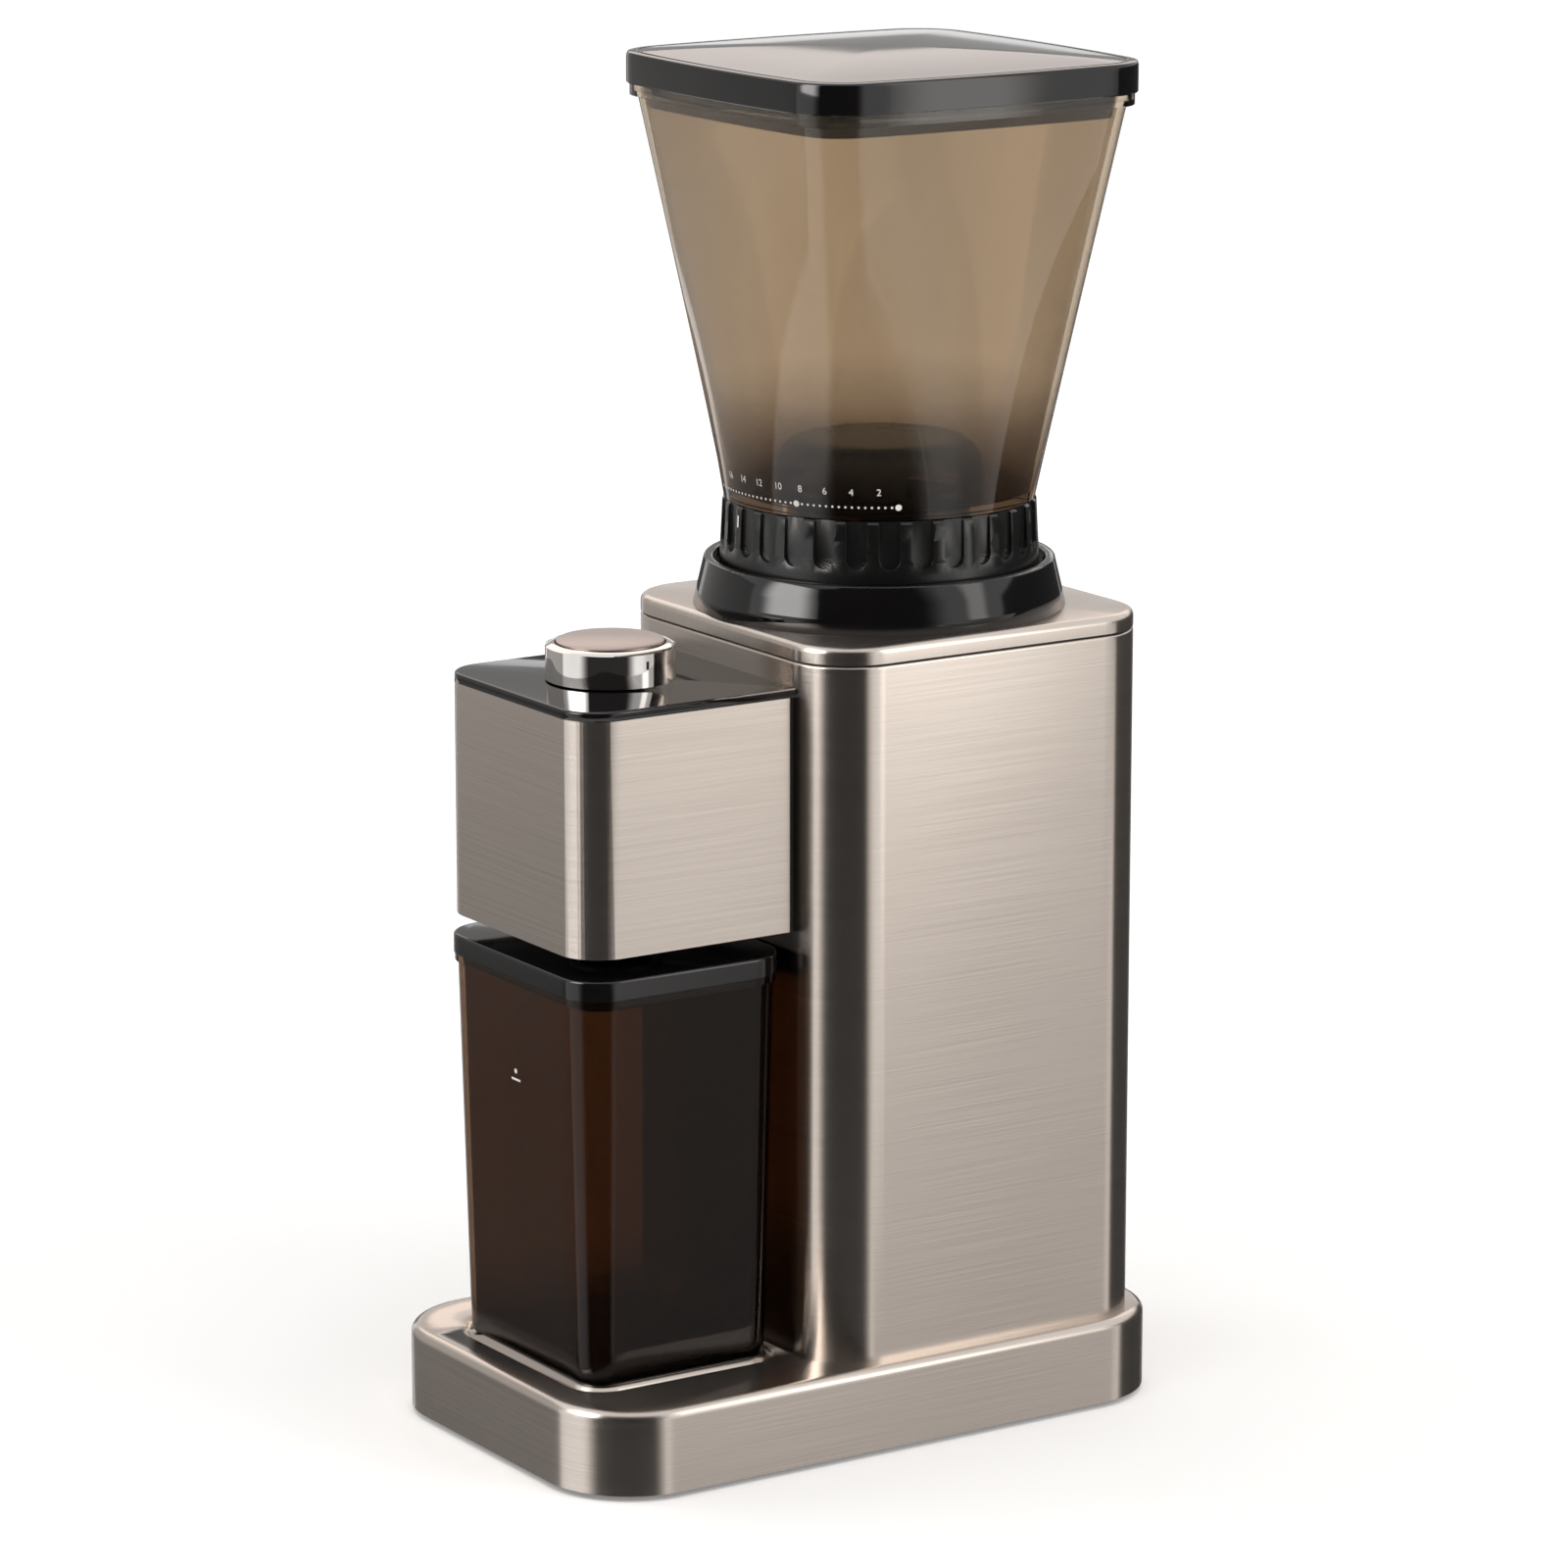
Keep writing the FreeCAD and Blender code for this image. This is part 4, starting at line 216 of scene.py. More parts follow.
# %% [markdown]
# Moulded black plastics. The collar, caps and lids are polished ABS, which mirrors the room softly. The fluted ring
# and the guard are satin, and hidden mouldings have a spark-eroded grain. All three are one dark plastic with a
# different gloss, so one function makes them.

# %% Plastics and rubber
def moulded_plastic(name, dark, light, roughness, grain_mm, depth_mm):
    """Coloured plastic with a broad haze of gloss and the fine grain of its mould."""
    material, tree, shader, place = new_material(name, IOR=1.53)
    spark = grain(tree, place, grain_mm)
    haze = grain(tree, place, 18.0, detail=2.0)
    tree.links.new(colour_between(tree, haze, dark, light), shader.inputs["Base Color"])
    tree.links.new(value_between(tree, haze, roughness * 0.85, roughness * 1.2), shader.inputs["Roughness"])
    bump(tree, shader, spark, depth_mm, 0.2)
    return material


# Deep black with a clear mirror image of the studio, on lids, collar and cap.
gloss_black = moulded_plastic("polished_black_abs", "#0A090A", "#121011", 0.07, 6.0, 0.004)
# Black with soft broad highlights, so that the flutes of the ring read.
satin_black = moulded_plastic("satin_black_abs", "#0D0C0C", "#171615", 0.26, 1.0, 0.01)
# Flat dark grey without highlights, for what stands in the shade.
matte_black = moulded_plastic("spark_grained_black_abs", "#121212", "#1C1B1B", 0.5, 0.5, 0.03)
# Milky white of gears.
acetal = moulded_plastic("natural_acetal", "#DAD6CA", "#E8E5DB", 0.4, 1.2, 0.01)
# Green of circuit boards.
solder_mask = moulded_plastic("green_solder_mask", "#0F3D1F", "#18552C", 0.3, 1.6, 0.02)
# Dull black that swallows light, on feet and seals.
rubber = moulded_plastic("moulded_rubber", "#141313", "#1F1E1D", 0.65, 0.6, 0.03)
# Crisp white ink of the scale.
white_print = moulded_plastic("white_pad_print", "#E4E0DA", "#F4F2EE", 0.5, 0.4, 0.005)
# Black ink of the pointer on the dial.
black_print = moulded_plastic("black_pad_print", "#0B0B0B", "#131313", 0.5, 0.4, 0.005)
print("plastics", [plastic.name for plastic in (gloss_black, satin_black, matte_black, acetal, rubber)])

# %% [markdown]
# Smoked clear plastic. Hopper and container are moulded in tinted clear plastic: each wall takes a share of the
# light, so two walls look twice as dark as one, and thick places look darkest. A transmitting shader tints light where
# it passes a face, so what thickness does is drawn in: the tint deepens where a wall turns away from the eye. The
# tint also deepens towards the foot of each moulding, as painted shade. Faint flow marks of the moulding keep it from
# looking like plain glass.

# %% Smoked clear plastics
TURNED_AWAY = 0.88
FACE_ON = 0.42
# Painted shade at the foot of the hopper and of the container: the height where it is deepest and how far up it fades.
HOPPER_FOOT_SHADE = (283.0 * MM, 32.0 * MM)
CUP_FOOT_SHADE = (20.0 * MM, 30.0 * MM)


def smoked_plastic(name, deep, light, ior, foot, shade_rise):
    """Tinted clear plastic, deeper where the wall turns away, with painted shade that deepens it towards its foot."""
    material, tree, shader, place = new_material(name, IOR=ior, Transmission_Weight=1.0)
    flow = grain(tree, place, 22.0, (1.0, 1.0, 4.0), 2.0)
    # Painted shade: the tint is deepest up to a height near the foot and fades out above it.
    level = add_node(tree, "ShaderNodeSeparateXYZ", links={"Vector": place}).outputs["Z"]
    height = add_node(tree, "ShaderNodeMapRange", inputs={"From Min": foot, "From Max": foot + shade_rise},
                      links={"Value": level}).outputs["Result"]
    facing = add_node(tree, "ShaderNodeLayerWeight", inputs={"Blend": 0.5}).outputs["Facing"]
    towards = add_node(tree, "ShaderNodeMapRange", inputs={"From Min": TURNED_AWAY, "From Max": FACE_ON},
                       links={"Value": facing}).outputs["Result"]
    clear = add_node(tree, "ShaderNodeMath", {"operation": "MULTIPLY"}, links={0: height, 1: towards}).outputs["Value"]
    uneven = add_node(tree, "ShaderNodeMath", {"operation": "MULTIPLY"},
                      links={0: clear, 1: value_between(tree, flow, 0.9, 1.05)}).outputs["Value"]
    tree.links.new(colour_between(tree, uneven, deep, light), shader.inputs["Base Color"])
    tree.links.new(value_between(tree, flow, 0.02, 0.06), shader.inputs["Roughness"])
    bump(tree, shader, flow, 0.15, 0.04)
    return material


# Warm brown clear funnel that darkens to its edges, and to its foot with painted shade.
smoked_hopper = smoked_plastic("smoked_clear_hopper", "#57422F", "#C1B29E", 1.49, *HOPPER_FOOT_SHADE)
# Much deeper brown, nearly black where two walls lie behind each other, with painted shade towards its foot.
smoked_container = smoked_plastic("smoked_clear_container", "#33241A", "#6C523E", 1.33, *CUP_FOOT_SHADE)
print("smoked plastics", smoked_hopper.name, smoked_container.name)

# %% [markdown]
# Dressing the CAD nodes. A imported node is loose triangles, so every facet would show. A merged copy shares its
# vertices again: flat faces stay crisp at edges sharper than a limit, and round faces shade smoothly. A narrow
# bevel on those edges gives the thin highlight that every real edge has.

# %% Merged, softly edged copies of the visible nodes
SHARP = math.radians(28.0)


def merged_copy(node):
    """Mesh of a CAD node with its shared vertices joined again."""
    work = bmesh.new()
    work.from_mesh(nodes[node].data)
    bmesh.ops.remove_doubles(work, verts=work.verts, dist=1e-6)
    mesh = bpy.data.meshes.new(node + "_dressed")
    work.to_mesh(mesh)
    work.free()
    for face in mesh.polygons:
        face.use_smooth = True
    mesh.set_sharp_from_angle(angle=SHARP)
    return mesh


def dress(node, material, edge_mm=0.0):
    """Stands a merged copy with a finish in the place of a CAD node."""
    piece = bpy.data.objects.new(node + "_dressed", merged_copy(node))
    bpy.context.scene.collection.objects.link(piece)
    piece.data.materials.clear()
    piece.data.materials.append(material)
    if edge_mm:
        soft = piece.modifiers.new("soft_edges", "BEVEL")
        soft.width = edge_mm * MM
        soft.segments = 2
        soft.limit_method = "ANGLE"
        soft.angle_limit = SHARP
        soft.harden_normals = True
    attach(piece, body_of_node[node])
    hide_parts(node)
    return piece


DRESSED = {
    "base_shell": (tower_steel, 0.0), "tower_shell": (tower_steel, 0.0), "top_plate": (plate_steel, 0.0),
    "head_wrap": (tower_steel, 0.0), "top_gasket": (rubber, 0.0), "base_plate": (matte_black, 0.0),
    "rubber_feet": (rubber, 0.4), "base_screws": (zinc_steel, 0.0), "cord_gland": (rubber, 0.2),
    "collar": (gloss_black, 0.0), "adjust_ring": (satin_black, 0.15),
    "bean_guard": (satin_black, 0.0), "hopper_lid_seal": (rubber, 0.2),
    "head_body": (matte_black, 0.0), "head_cap": (gloss_black, 0.0), "spout": (matte_black, 0.2),
    "container_lid": (gloss_black, 0.2),
    "container_seal": (rubber, 0.1), "start_button": (satin_aluminium, 0.2),
    "mill_housing": (cast_aluminium, 0.0), "burr_carrier": (matte_black, 0.0), "ring_burr": (burr_steel, 0.0),
    "cone_burr": (burr_steel, 0.0), "burr_screw": (zinc_steel, 0.0),
}
dressed = {node: dress(node, *finish) for node, finish in DRESSED.items()}
print("dressed", len(dressed))

# %% [markdown]
# Seam behind the head. The steel sleeve of the head is pushed on from the front and ends just short of the tower, so
# only a narrow dark seam shows there. The copies of sleeve and body get that seam: the sleeve's rear edge is moved
# back, and the sides of the body behind it are moved in by the sleeve's wall.

# %% Narrow seam between head and tower
SLEEVE_TAIL = 6.0 * MM
SLEEVE_WALL = 1.2 * MM
REAR_SLACK = 0.1 * MM
SIDE_SLACK = 0.4 * MM
sleeve_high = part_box("head_wrap")[1]


def shift_part(piece, picks, shift):
    """Moves those vertices of a dressed copy that a test picks."""
    work = bmesh.new()
    work.from_mesh(piece.data)
    bmesh.ops.translate(work, verts=[vert for vert in work.verts if picks(vert.co)], vec=shift)
    work.to_mesh(piece.data)
    work.free()


def behind_sleeve(point):
    """Whether a point lies at the sleeve's rear edge or behind it."""
    return point.y > sleeve_high.y - REAR_SLACK


def right_of_seam(point):
    return behind_sleeve(point) and point.x > sleeve_high.x - SIDE_SLACK


def left_of_seam(point):
    return behind_sleeve(point) and point.x < SIDE_SLACK - sleeve_high.x


shift_part(dressed["head_wrap"], behind_sleeve, (0.0, SLEEVE_TAIL, 0.0))
shift_part(dressed["head_body"], right_of_seam, (-SLEEVE_WALL, 0.0, 0.0))
shift_part(dressed["head_body"], left_of_seam, (SLEEVE_WALL, 0.0, 0.0))

# %% [markdown]
# Hopper, lid and container. On the real object these are injection mouldings with one even wall, so each is one skin
# that runs round the outside, over the rim and back down the inside. The skin is drawn ring by ring: the edges of a
# circle are extruded from level to level, and each new ring is moved onto the plan that the moulding has there.
# Evenly spaced rings bend light cleanly, which the loose triangles of a loft don't.

# %% Plans of the mouldings
SIDE_STEPS = 12
CORNER_STEPS = 12
QUARTER = math.pi / 2


def along_arc(centre, radius, start, end, steps):
    """Points of an arc on the plan, without its end."""
    angles = [start + (end - start) * step / steps for step in range(steps)]
    return [centre + Vector((math.cos(a), math.sin(a))) * radius for a in angles]


def bulged_arcs(half_width, side_radius, corner):
    """Arcs of a square with bulged sides and round corners."""
    back = side_radius - half_width
    reach = side_radius - corner
    stand = (math.sqrt(2 * reach * reach - back * back) - back) / 2
    lean = math.atan2(stand, stand + back)
    arcs = []
    for turn in (0.0, QUARTER, QUARTER * 2, QUARTER * 3):
        side_centre = Vector((math.cos(turn), math.sin(turn))) * -back
        corner_centre = Vector((math.cos(turn + QUARTER / 2), math.sin(turn + QUARTER / 2))) * stand * math.sqrt(2)
        arcs.append((side_centre, side_radius, turn - lean, turn + lean, SIDE_STEPS))
        arcs.append((corner_centre, corner, turn + lean, turn + QUARTER - lean, CORNER_STEPS))
    return arcs


def block_plan(half_x, half_y, corner):
    """Points of a rectangle with round corners."""
    signs = ((1, -1), (1, 1), (-1, 1), (-1, -1), (1, -1))
    centres = [Vector((x * (half_x - corner), y * (half_y - corner))) for x, y in signs]
    points = []
    for number, (before, centre) in enumerate(zip(centres, centres[1:])):
        outward = Vector((math.cos(number * QUARTER), math.sin(number * QUARTER))) * corner
        points += [(before + outward).lerp(centre + outward, step / SIDE_STEPS) for step in range(SIDE_STEPS)]
        points += along_arc(centre, corner, number * QUARTER, (number + 1) * QUARTER, CORNER_STEPS)
    return points


# %% One skin through a row of rings
def skin(name, rings, centre, closed):
    """Mesh drawn through rings of (plan, height) about a centre, joined up or capped at both ends."""
    work = bmesh.new()
    made = bmesh.ops.create_circle(work, segments=len(rings[0][0]), radius=1.0)
    row = made["verts"]
    edges = list(work.edges)
    for number, (plan, height) in enumerate(rings):
        if number:
            grown = bmesh.ops.extrude_edge_only(work, edges=edges)["geom"]
            fresh = {item for item in grown if isinstance(item, bmesh.types.BMVert)}
            row = [next(e.other_vert(v) for e in v.link_edges if e.other_vert(v) in fresh) for v in row]
            edges = [e for e in grown if isinstance(e, bmesh.types.BMEdge) and set(e.verts) <= fresh]
        for vert, point in zip(row, plan):
            vert.co = Vector((point.x, point.y, height)) + centre
    if closed:
        bmesh.ops.remove_doubles(work, verts=work.verts, dist=1e-7)
    else:
        bmesh.ops.holes_fill(work, edges=[e for e in work.edges if e.is_boundary], sides=0)
    bmesh.ops.recalc_face_normals(work, faces=work.faces)
    mesh = bpy.data.meshes.new(name)
    work.to_mesh(mesh)
    work.free()
    for face in mesh.polygons:
        face.use_smooth = True
    mesh.set_sharp_from_angle(angle=SHARP)
    return mesh


def stand_in(node, mesh, material):
    """Stands a new mesh with a finish in the place of a CAD node."""
    piece = bpy.data.objects.new(mesh.name, mesh)
    bpy.context.scene.collection.objects.link(piece)
    mesh.materials.append(material)
    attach(piece, body_of_node[node])
    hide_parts(node)
    return piece


# %% Hopper
hopper_low, hopper_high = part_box("hopper")
lid_low, lid_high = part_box("hopper_lid")
axis = Vector((0.0, (lid_low.y + lid_high.y) / 2, 0.0))
LID_HALF = lid_high.x
LID_SIDE = 500.0 * MM
LID_CORNER = 18.0 * MM
RING_GAP = 0.4 * MM
HOPPER_FOOT = 47.2 * MM
HOPPER_WALL = 2.6 * MM
HOPPER_INSET = 2.6 * MM
RIM_INSET = 1.0 * MM
RIM_HEIGHT = 3.6 * MM
FLOOR = 3.0 * MM
MOUTH = 27.5 * MM
NECK_IN = 38.0 * MM
NECK_OUT = 40.9 * MM
WALL_ROWS = 14
hopper_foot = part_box("adjust_ring")[1].z + RING_GAP


def bulged_plan(inset):
    """Points of the lid's plan, moved inwards by an inset."""
    arcs = bulged_arcs(LID_HALF - inset, LID_SIDE - inset, LID_CORNER - inset)
    return [point for arc in arcs for point in along_arc(*arc)]


def round_plan(radius, inset):
    """Points of a circle whose arcs end at the bearings of the bulged plan's arcs."""
    arcs = bulged_arcs(LID_HALF - inset, LID_SIDE - inset, LID_CORNER - inset)
    starts = [along_arc(*arc)[0] for arc in arcs]
    bearings = [math.atan2(point.y, point.x) for point in starts] + [math.atan2(starts[0].y, starts[0].x)]
    points = []
    for arc, start, end in zip(arcs, bearings, bearings[1:]):
        turned = end if end > start else end + math.tau
        points += along_arc(Vector((0.0, 0.0)), radius, start, turned, arc[4])
    return points


def wall_rings(foot, inset, low, high, upwards=True):
    """Rings of the hopper's wall between two heights, from its round foot towards its square rim."""
    tall = hopper_high.z - hopper_foot
    bottom = round_plan(foot, inset)
    top = bulged_plan(inset)
    steps = range(WALL_ROWS + 1) if upwards else range(WALL_ROWS, -1, -1)
    rings = []
    for step in steps:
        height = low + (high - low) * step / WALL_ROWS
        share = height / tall
        rings.append(([a.lerp(b, share) for a, b in zip(bottom, top)], height))
    return rings


def make_hopper():
    """Funnel with its neck, wall and rim, as one closed skin."""
    tall = hopper_high.z - hopper_foot
    neck_low = hopper_low.z - hopper_foot
    foot = [(round_plan(radius, HOPPER_INSET), height) for radius, height in (
        (MOUTH, FLOOR), (MOUTH, 0.0), (NECK_IN, 0.0), (NECK_IN, neck_low), (NECK_OUT, neck_low), (NECK_OUT, 0.0))]
    outside = wall_rings(HOPPER_FOOT, HOPPER_INSET, 0.0, tall - RIM_HEIGHT)
    rim = [(bulged_plan(RIM_INSET), tall - RIM_HEIGHT), (bulged_plan(RIM_INSET), tall)]
    inside = wall_rings(HOPPER_FOOT - HOPPER_WALL, HOPPER_INSET + HOPPER_WALL, FLOOR, tall, upwards=False)
    rings = foot + outside + rim + inside + foot[:1]
    mesh = skin("hopper_moulding", rings, axis + Vector((0, 0, hopper_foot)), closed=True)
    return stand_in("hopper", mesh, smoked_hopper)


print("hopper faces", len(make_hopper().data.polygons))

# %% Hopper lid with its groove and soft crown
LID_WALL = 2.4 * MM
LID_BAND = 9.4 * MM
PLUG_INSET = 7.4 * MM
PLUG_DROP = 7.0 * MM
CROWN_EDGE = 4.2 * MM
CROWN_SHARES = (0.97, 0.9, 0.78, 0.6, 0.4, 0.2, 0.05)
LID_CHAMFER = 0.3 * MM
# Inset and depth below the band's top: first the rounded edge, then the groove beside the crown.
LID_TOP_MM = ((0.0, 1.0), (0.12, 0.5), (0.4, 0.15), (0.9, 0.0), (2.6, 0.0), (2.9, 0.45), (3.5, 0.45), (3.8, 0.0))


def make_lid():
    """Lid with its plug, its band and a low crown, as one skin capped at both ends."""
    ceiling = LID_BAND - LID_WALL
    profile = [(PLUG_INSET + LID_WALL, ceiling), (PLUG_INSET + LID_WALL, -PLUG_DROP), (PLUG_INSET, -PLUG_DROP),
               (PLUG_INSET, ceiling), (LID_WALL, ceiling), (LID_WALL, 0.0), (LID_CHAMFER, 0.0), (0.0, LID_CHAMFER)]
    profile += [(inset * MM, LID_BAND - depth * MM) for inset, depth in LID_TOP_MM]
    rings = [(bulged_plan(inset), height) for inset, height in profile]
    edge = bulged_plan(CROWN_EDGE)
    crown = lid_high.z - lid_low.z - PLUG_DROP - LID_BAND
    for share in CROWN_SHARES:
        rings.append(([point * share for point in edge], LID_BAND + crown * (1 - share ** 2)))
    mesh = skin("hopper_lid_moulding", rings, axis + Vector((0, 0, hopper_high.z)), closed=False)
    return stand_in("hopper_lid", mesh, gloss_black)


print("lid faces", len(make_lid().data.polygons))

# %% Grounds container
cup_low, cup_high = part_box("grounds_container")
cup_axis = Vector((0.0, (cup_low.y + cup_high.y) / 2, 0.0))
CUP_RIM = 0.9 * MM
CUP_RIM_HEIGHT = 2.4 * MM
CUP_CORNER = 12.0 * MM
CUP_DRAFT = 3.0 * MM
CUP_WALL = 2.2 * MM
CUP_EDGE = 2.0 * MM
ROUND_STEPS = 5


def make_container():
    """Cup with a rounded foot, leaning walls and a rim, as one skin capped at both ends."""
    tall = cup_high.z - cup_low.z
    half_x = cup_high.x - CUP_RIM
    half_y = (cup_high.y - cup_low.y) / 2 - CUP_RIM

    def ring(inset, height):
        return block_plan(half_x - inset, half_y - inset, CUP_CORNER - inset), height

    def lean(height):
        return CUP_DRAFT * (1 - height / tall)
    rings = []
    for step in range(ROUND_STEPS + 1):
        angle = QUARTER * step / ROUND_STEPS
        height = CUP_EDGE * (1 - math.cos(angle))
        rings.append(ring(lean(height) + CUP_EDGE * (1 - math.sin(angle)), height))
    for step in range(1, WALL_ROWS + 1):
        height = CUP_EDGE + (tall - CUP_RIM_HEIGHT - CUP_EDGE) * step / WALL_ROWS
        rings.append(ring(lean(height), height))
    rings += [ring(-CUP_RIM, tall - CUP_RIM_HEIGHT), ring(-CUP_RIM, tall), ring(CUP_WALL, tall)]
    for step in range(WALL_ROWS, -1, -1):
        height = FLOOR + (tall - FLOOR) * step / WALL_ROWS
        rings.append(ring(lean(height) + CUP_WALL, height))
    mesh = skin("grounds_container_moulding", rings, cup_axis + Vector((0, 0, cup_low.z)), closed=False)
    return stand_in("grounds_container", mesh, smoked_container)


print("container faces", len(make_container().data.polygons))

# %% [markdown]
# Dose dial. The knob is turned from bar and chrome plated, so its side mirrors the studio in clean upright bands. The
# same skin draws it from the profile that a lathe would follow, because even rings keep a mirror free of ripples.

# %% Dose dial
dial_low, dial_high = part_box("dose_dial")
dial_axis = Vector((0.0, (dial_low.y + dial_high.y) / 2, 0.0))
DIAL_STEPS = 128
DIAL_PROFILE_MM = ((3.4, 0.0), (6.0, 0.0), (6.0, 12.0), (19.4, 12.0), (19.4, 21.9), (17.6, 22.8), (16.6, 22.8),
                   (16.6, 16.6), (3.4, 16.6), (3.4, 0.0))


def make_dial():
    """Knob with its hollow stem, as one closed skin."""
    rings = [(along_arc(Vector((0.0, 0.0)), radius * MM, 0.0, math.tau, DIAL_STEPS), height * MM)
             for radius, height in DIAL_PROFILE_MM]
    mesh = skin("dose_dial_turning", rings, dial_axis + Vector((0, 0, dial_low.z)), closed=True)
    return stand_in("dose_dial", mesh, chrome)


print("dial faces", len(make_dial().data.polygons))
SKINNED = ("hopper", "hopper_lid", "grounds_container", "dose_dial")

# %% [markdown]
# Pieces inside the housing never show from outside. They keep their CAD meshes and still get the finish of the
# real part, so that an opened or taken-apart copy looks right.

# %% Finishes of the inner pieces
INNER = {
    zinc_steel: ("frame_screws", "mill_screws", "gearbox_screws", "motor_screws", "head_screws", "drive_shaft",
                 "upper_bearing", "lower_bearing", "countershaft_pin", "motor_shaft", "motor_pinion"),
    acetal: ("output_gear", "compound_gear", "switch_plunger"),
    cast_aluminium: ("gearbox_cover", "gearbox_case"),
    motor_steel: ("motor_can",),
    solder_mask: ("power_board", "timer_board"),
    matte_black: ("inner_frame", "sweeper", "motor_end_cap", "chute", "dial_encoder", "start_switch"),
}
for material, names in INNER.items():
    for node in names:
        nodes[node].data.materials.clear()
        nodes[node].data.materials.append(material)
finished = set(DRESSED) | set(SKINNED) | {node for names in INNER.values() for node in names}
print("nodes without a finish", sorted(set(nodes) - finished))

# %% [markdown]
# Printed scale. The grinder has a dotted grind scale pad-printed round the foot of the hopper, with plain numbers
# above it, and white or black pointers on the ring, the dial and the container. Ink is thin, so each mark is a flat
# patch laid on the surface. Casting a ray inwards from outside finds the surface at a bearing and a height.

# %% Helpers for printed marks
INK = 0.12 * MM
CAST_FROM = 200.0 * MM
DOT_CORNERS = 12


def surface_of(node):
    """Search tree of a CAD node's faces."""
    work = bmesh.new()
    work.from_mesh(nodes[node].data)
    tree = BVHTree.FromBMesh(work)
    work.free()
    return tree


def round_place(tree, centre, bearing, height):
    """Point and outward normal of a round piece at a bearing from its front and a height."""
    outward = Vector((math.sin(bearing), -math.cos(bearing), 0.0))
    start = Vector((centre.x, centre.y, height)) + outward * CAST_FROM
    point, normal, _, _ = tree.ray_cast(start, -outward)
    if normal.dot(outward) < 0:
        normal = -normal
    return point + normal * INK, normal


def finish_print(work, name, body, material):
    """Turns a bmesh of ink patches into a piece that rides on a body."""
    mesh = bpy.data.meshes.new(name)
    work.to_mesh(mesh)
    work.free()
    mesh.materials.append(material)
    piece = bpy.data.objects.new(name, mesh)
    bpy.context.scene.collection.objects.link(piece)
    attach(piece, body)
    return piece


def add_patch(work, tree, centre, bearing, height, width, tall, corners=4):
    """Ink patch on a round surface: a dot with many corners, a bar with four."""
    point, normal = round_place(tree, centre, bearing, height)
    side = Vector((math.cos(bearing), math.sin(bearing), 0.0))
    stand = normal.cross(side)
    basis = Matrix((side, stand, normal)).transposed().to_4x4()
    quarter = Matrix.Rotation(math.pi / 4 if corners == 4 else 0.0, 4, "Z")
    sizes = Matrix.Diagonal((width / 2, tall / 2, 1.0, 1.0))
    radius = math.sqrt(2.0) if corners == 4 else 1.0
    bmesh.ops.create_circle(work, cap_ends=True, segments=corners, radius=radius,
                            matrix=Matrix.Translation(point) @ basis @ sizes @ quarter)


# %% Dotted grind scale with plain numbers
hopper_tree = surface_of("hopper")
SCALE_START = math.radians(-22.0)
SCALE_END = math.radians(63.0)
SCALE_DOTS = 36
BIG_DOTS = (SCALE_DOTS, SCALE_DOTS * 5 // 9)
BIG_DOT = 2.0 * MM
SMALL_DOT = 0.75 * MM
SCALE_HEIGHT = hopper_foot + 4.0 * MM
NUMBER_HEIGHT = hopper_foot + 8.6 * MM
work = bmesh.new()
for step in range(SCALE_DOTS + 1):
    bearing = SCALE_START + (SCALE_END - SCALE_START) * step / SCALE_DOTS
    size = BIG_DOT if step in BIG_DOTS else SMALL_DOT
    add_patch(work, hopper_tree, axis, bearing, SCALE_HEIGHT, size, size, DOT_CORNERS)
finish_print(work, "hopper_scale_dots", "bean_hopper", white_print)


def flat_number(text, size):
    """Mesh of plain digits, lying flat and centred."""
    curve = bpy.data.curves.new("digits", "FONT")
    curve.body = text
    curve.size = size
    curve.align_x = "CENTER"
    curve.align_y = "CENTER"
    holder = bpy.data.objects.new("digits", curve)
    bpy.context.scene.collection.objects.link(holder)
    bpy.context.view_layer.update()
    mesh = bpy.data.meshes.new_from_object(holder)
    bpy.data.objects.remove(holder)
    return mesh


NUMBERS = ("2", "4", "6", "8", "10", "12", "14", "16")
NUMBER_SIZE = 3.0 * MM
NUMBER_RADIUS = 48.2 * MM
FIRST_NUMBER = SCALE_END - math.radians(7.0)
NUMBER_STEP = math.radians(9.6)
work = bmesh.new()
for index, text in enumerate(NUMBERS):
    bearing = FIRST_NUMBER - index * NUMBER_STEP
    before = len(work.verts)
    work.from_mesh(flat_number(text, NUMBER_SIZE))
    work.verts.ensure_lookup_table()
    for vert in work.verts[before:]:
        turned = bearing + vert.co.x / NUMBER_RADIUS
        vert.co = round_place(hopper_tree, axis, turned, NUMBER_HEIGHT + vert.co.y)[0]
finish_print(work, "hopper_scale_numbers", "bean_hopper", white_print)
print("scale", SCALE_DOTS + 1, "dots", len(NUMBERS), "numbers")

# %% Pointers on the ring, the dial and the container
ring_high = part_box("adjust_ring")[1]
work = bmesh.new()
add_patch(work, surface_of("adjust_ring"), axis, bearing=math.radians(-6.0), height=ring_high.z - 4.5 * MM,
          width=0.9 * MM, tall=3.6 * MM)
finish_print(work, "ring_pointer", "adjuster", white_print)

work = bmesh.new()
add_patch(work, surface_of("dose_dial"), dial_axis, bearing=math.radians(93.0), height=dial_high.z - 4.2 * MM,
          width=0.8 * MM, tall=2.4 * MM)
finish_print(work, "dial_pointer", "dial", black_print)

FILL_LINE = cup_high.z - 32.0 * MM
cup_tree = surface_of("grounds_container")
work = bmesh.new()
add_patch(work, cup_tree, cup_axis, bearing=0.0, height=FILL_LINE, width=5.0 * MM, tall=0.7 * MM)
add_patch(work, cup_tree, cup_axis, bearing=0.0, height=FILL_LINE + 2.6 * MM, width=1.6 * MM, tall=1.6 * MM,
          corners=DOT_CORNERS)
finish_print(work, "container_fill_line", "container", white_print)
print("fill line at", round(FILL_LINE, 4))

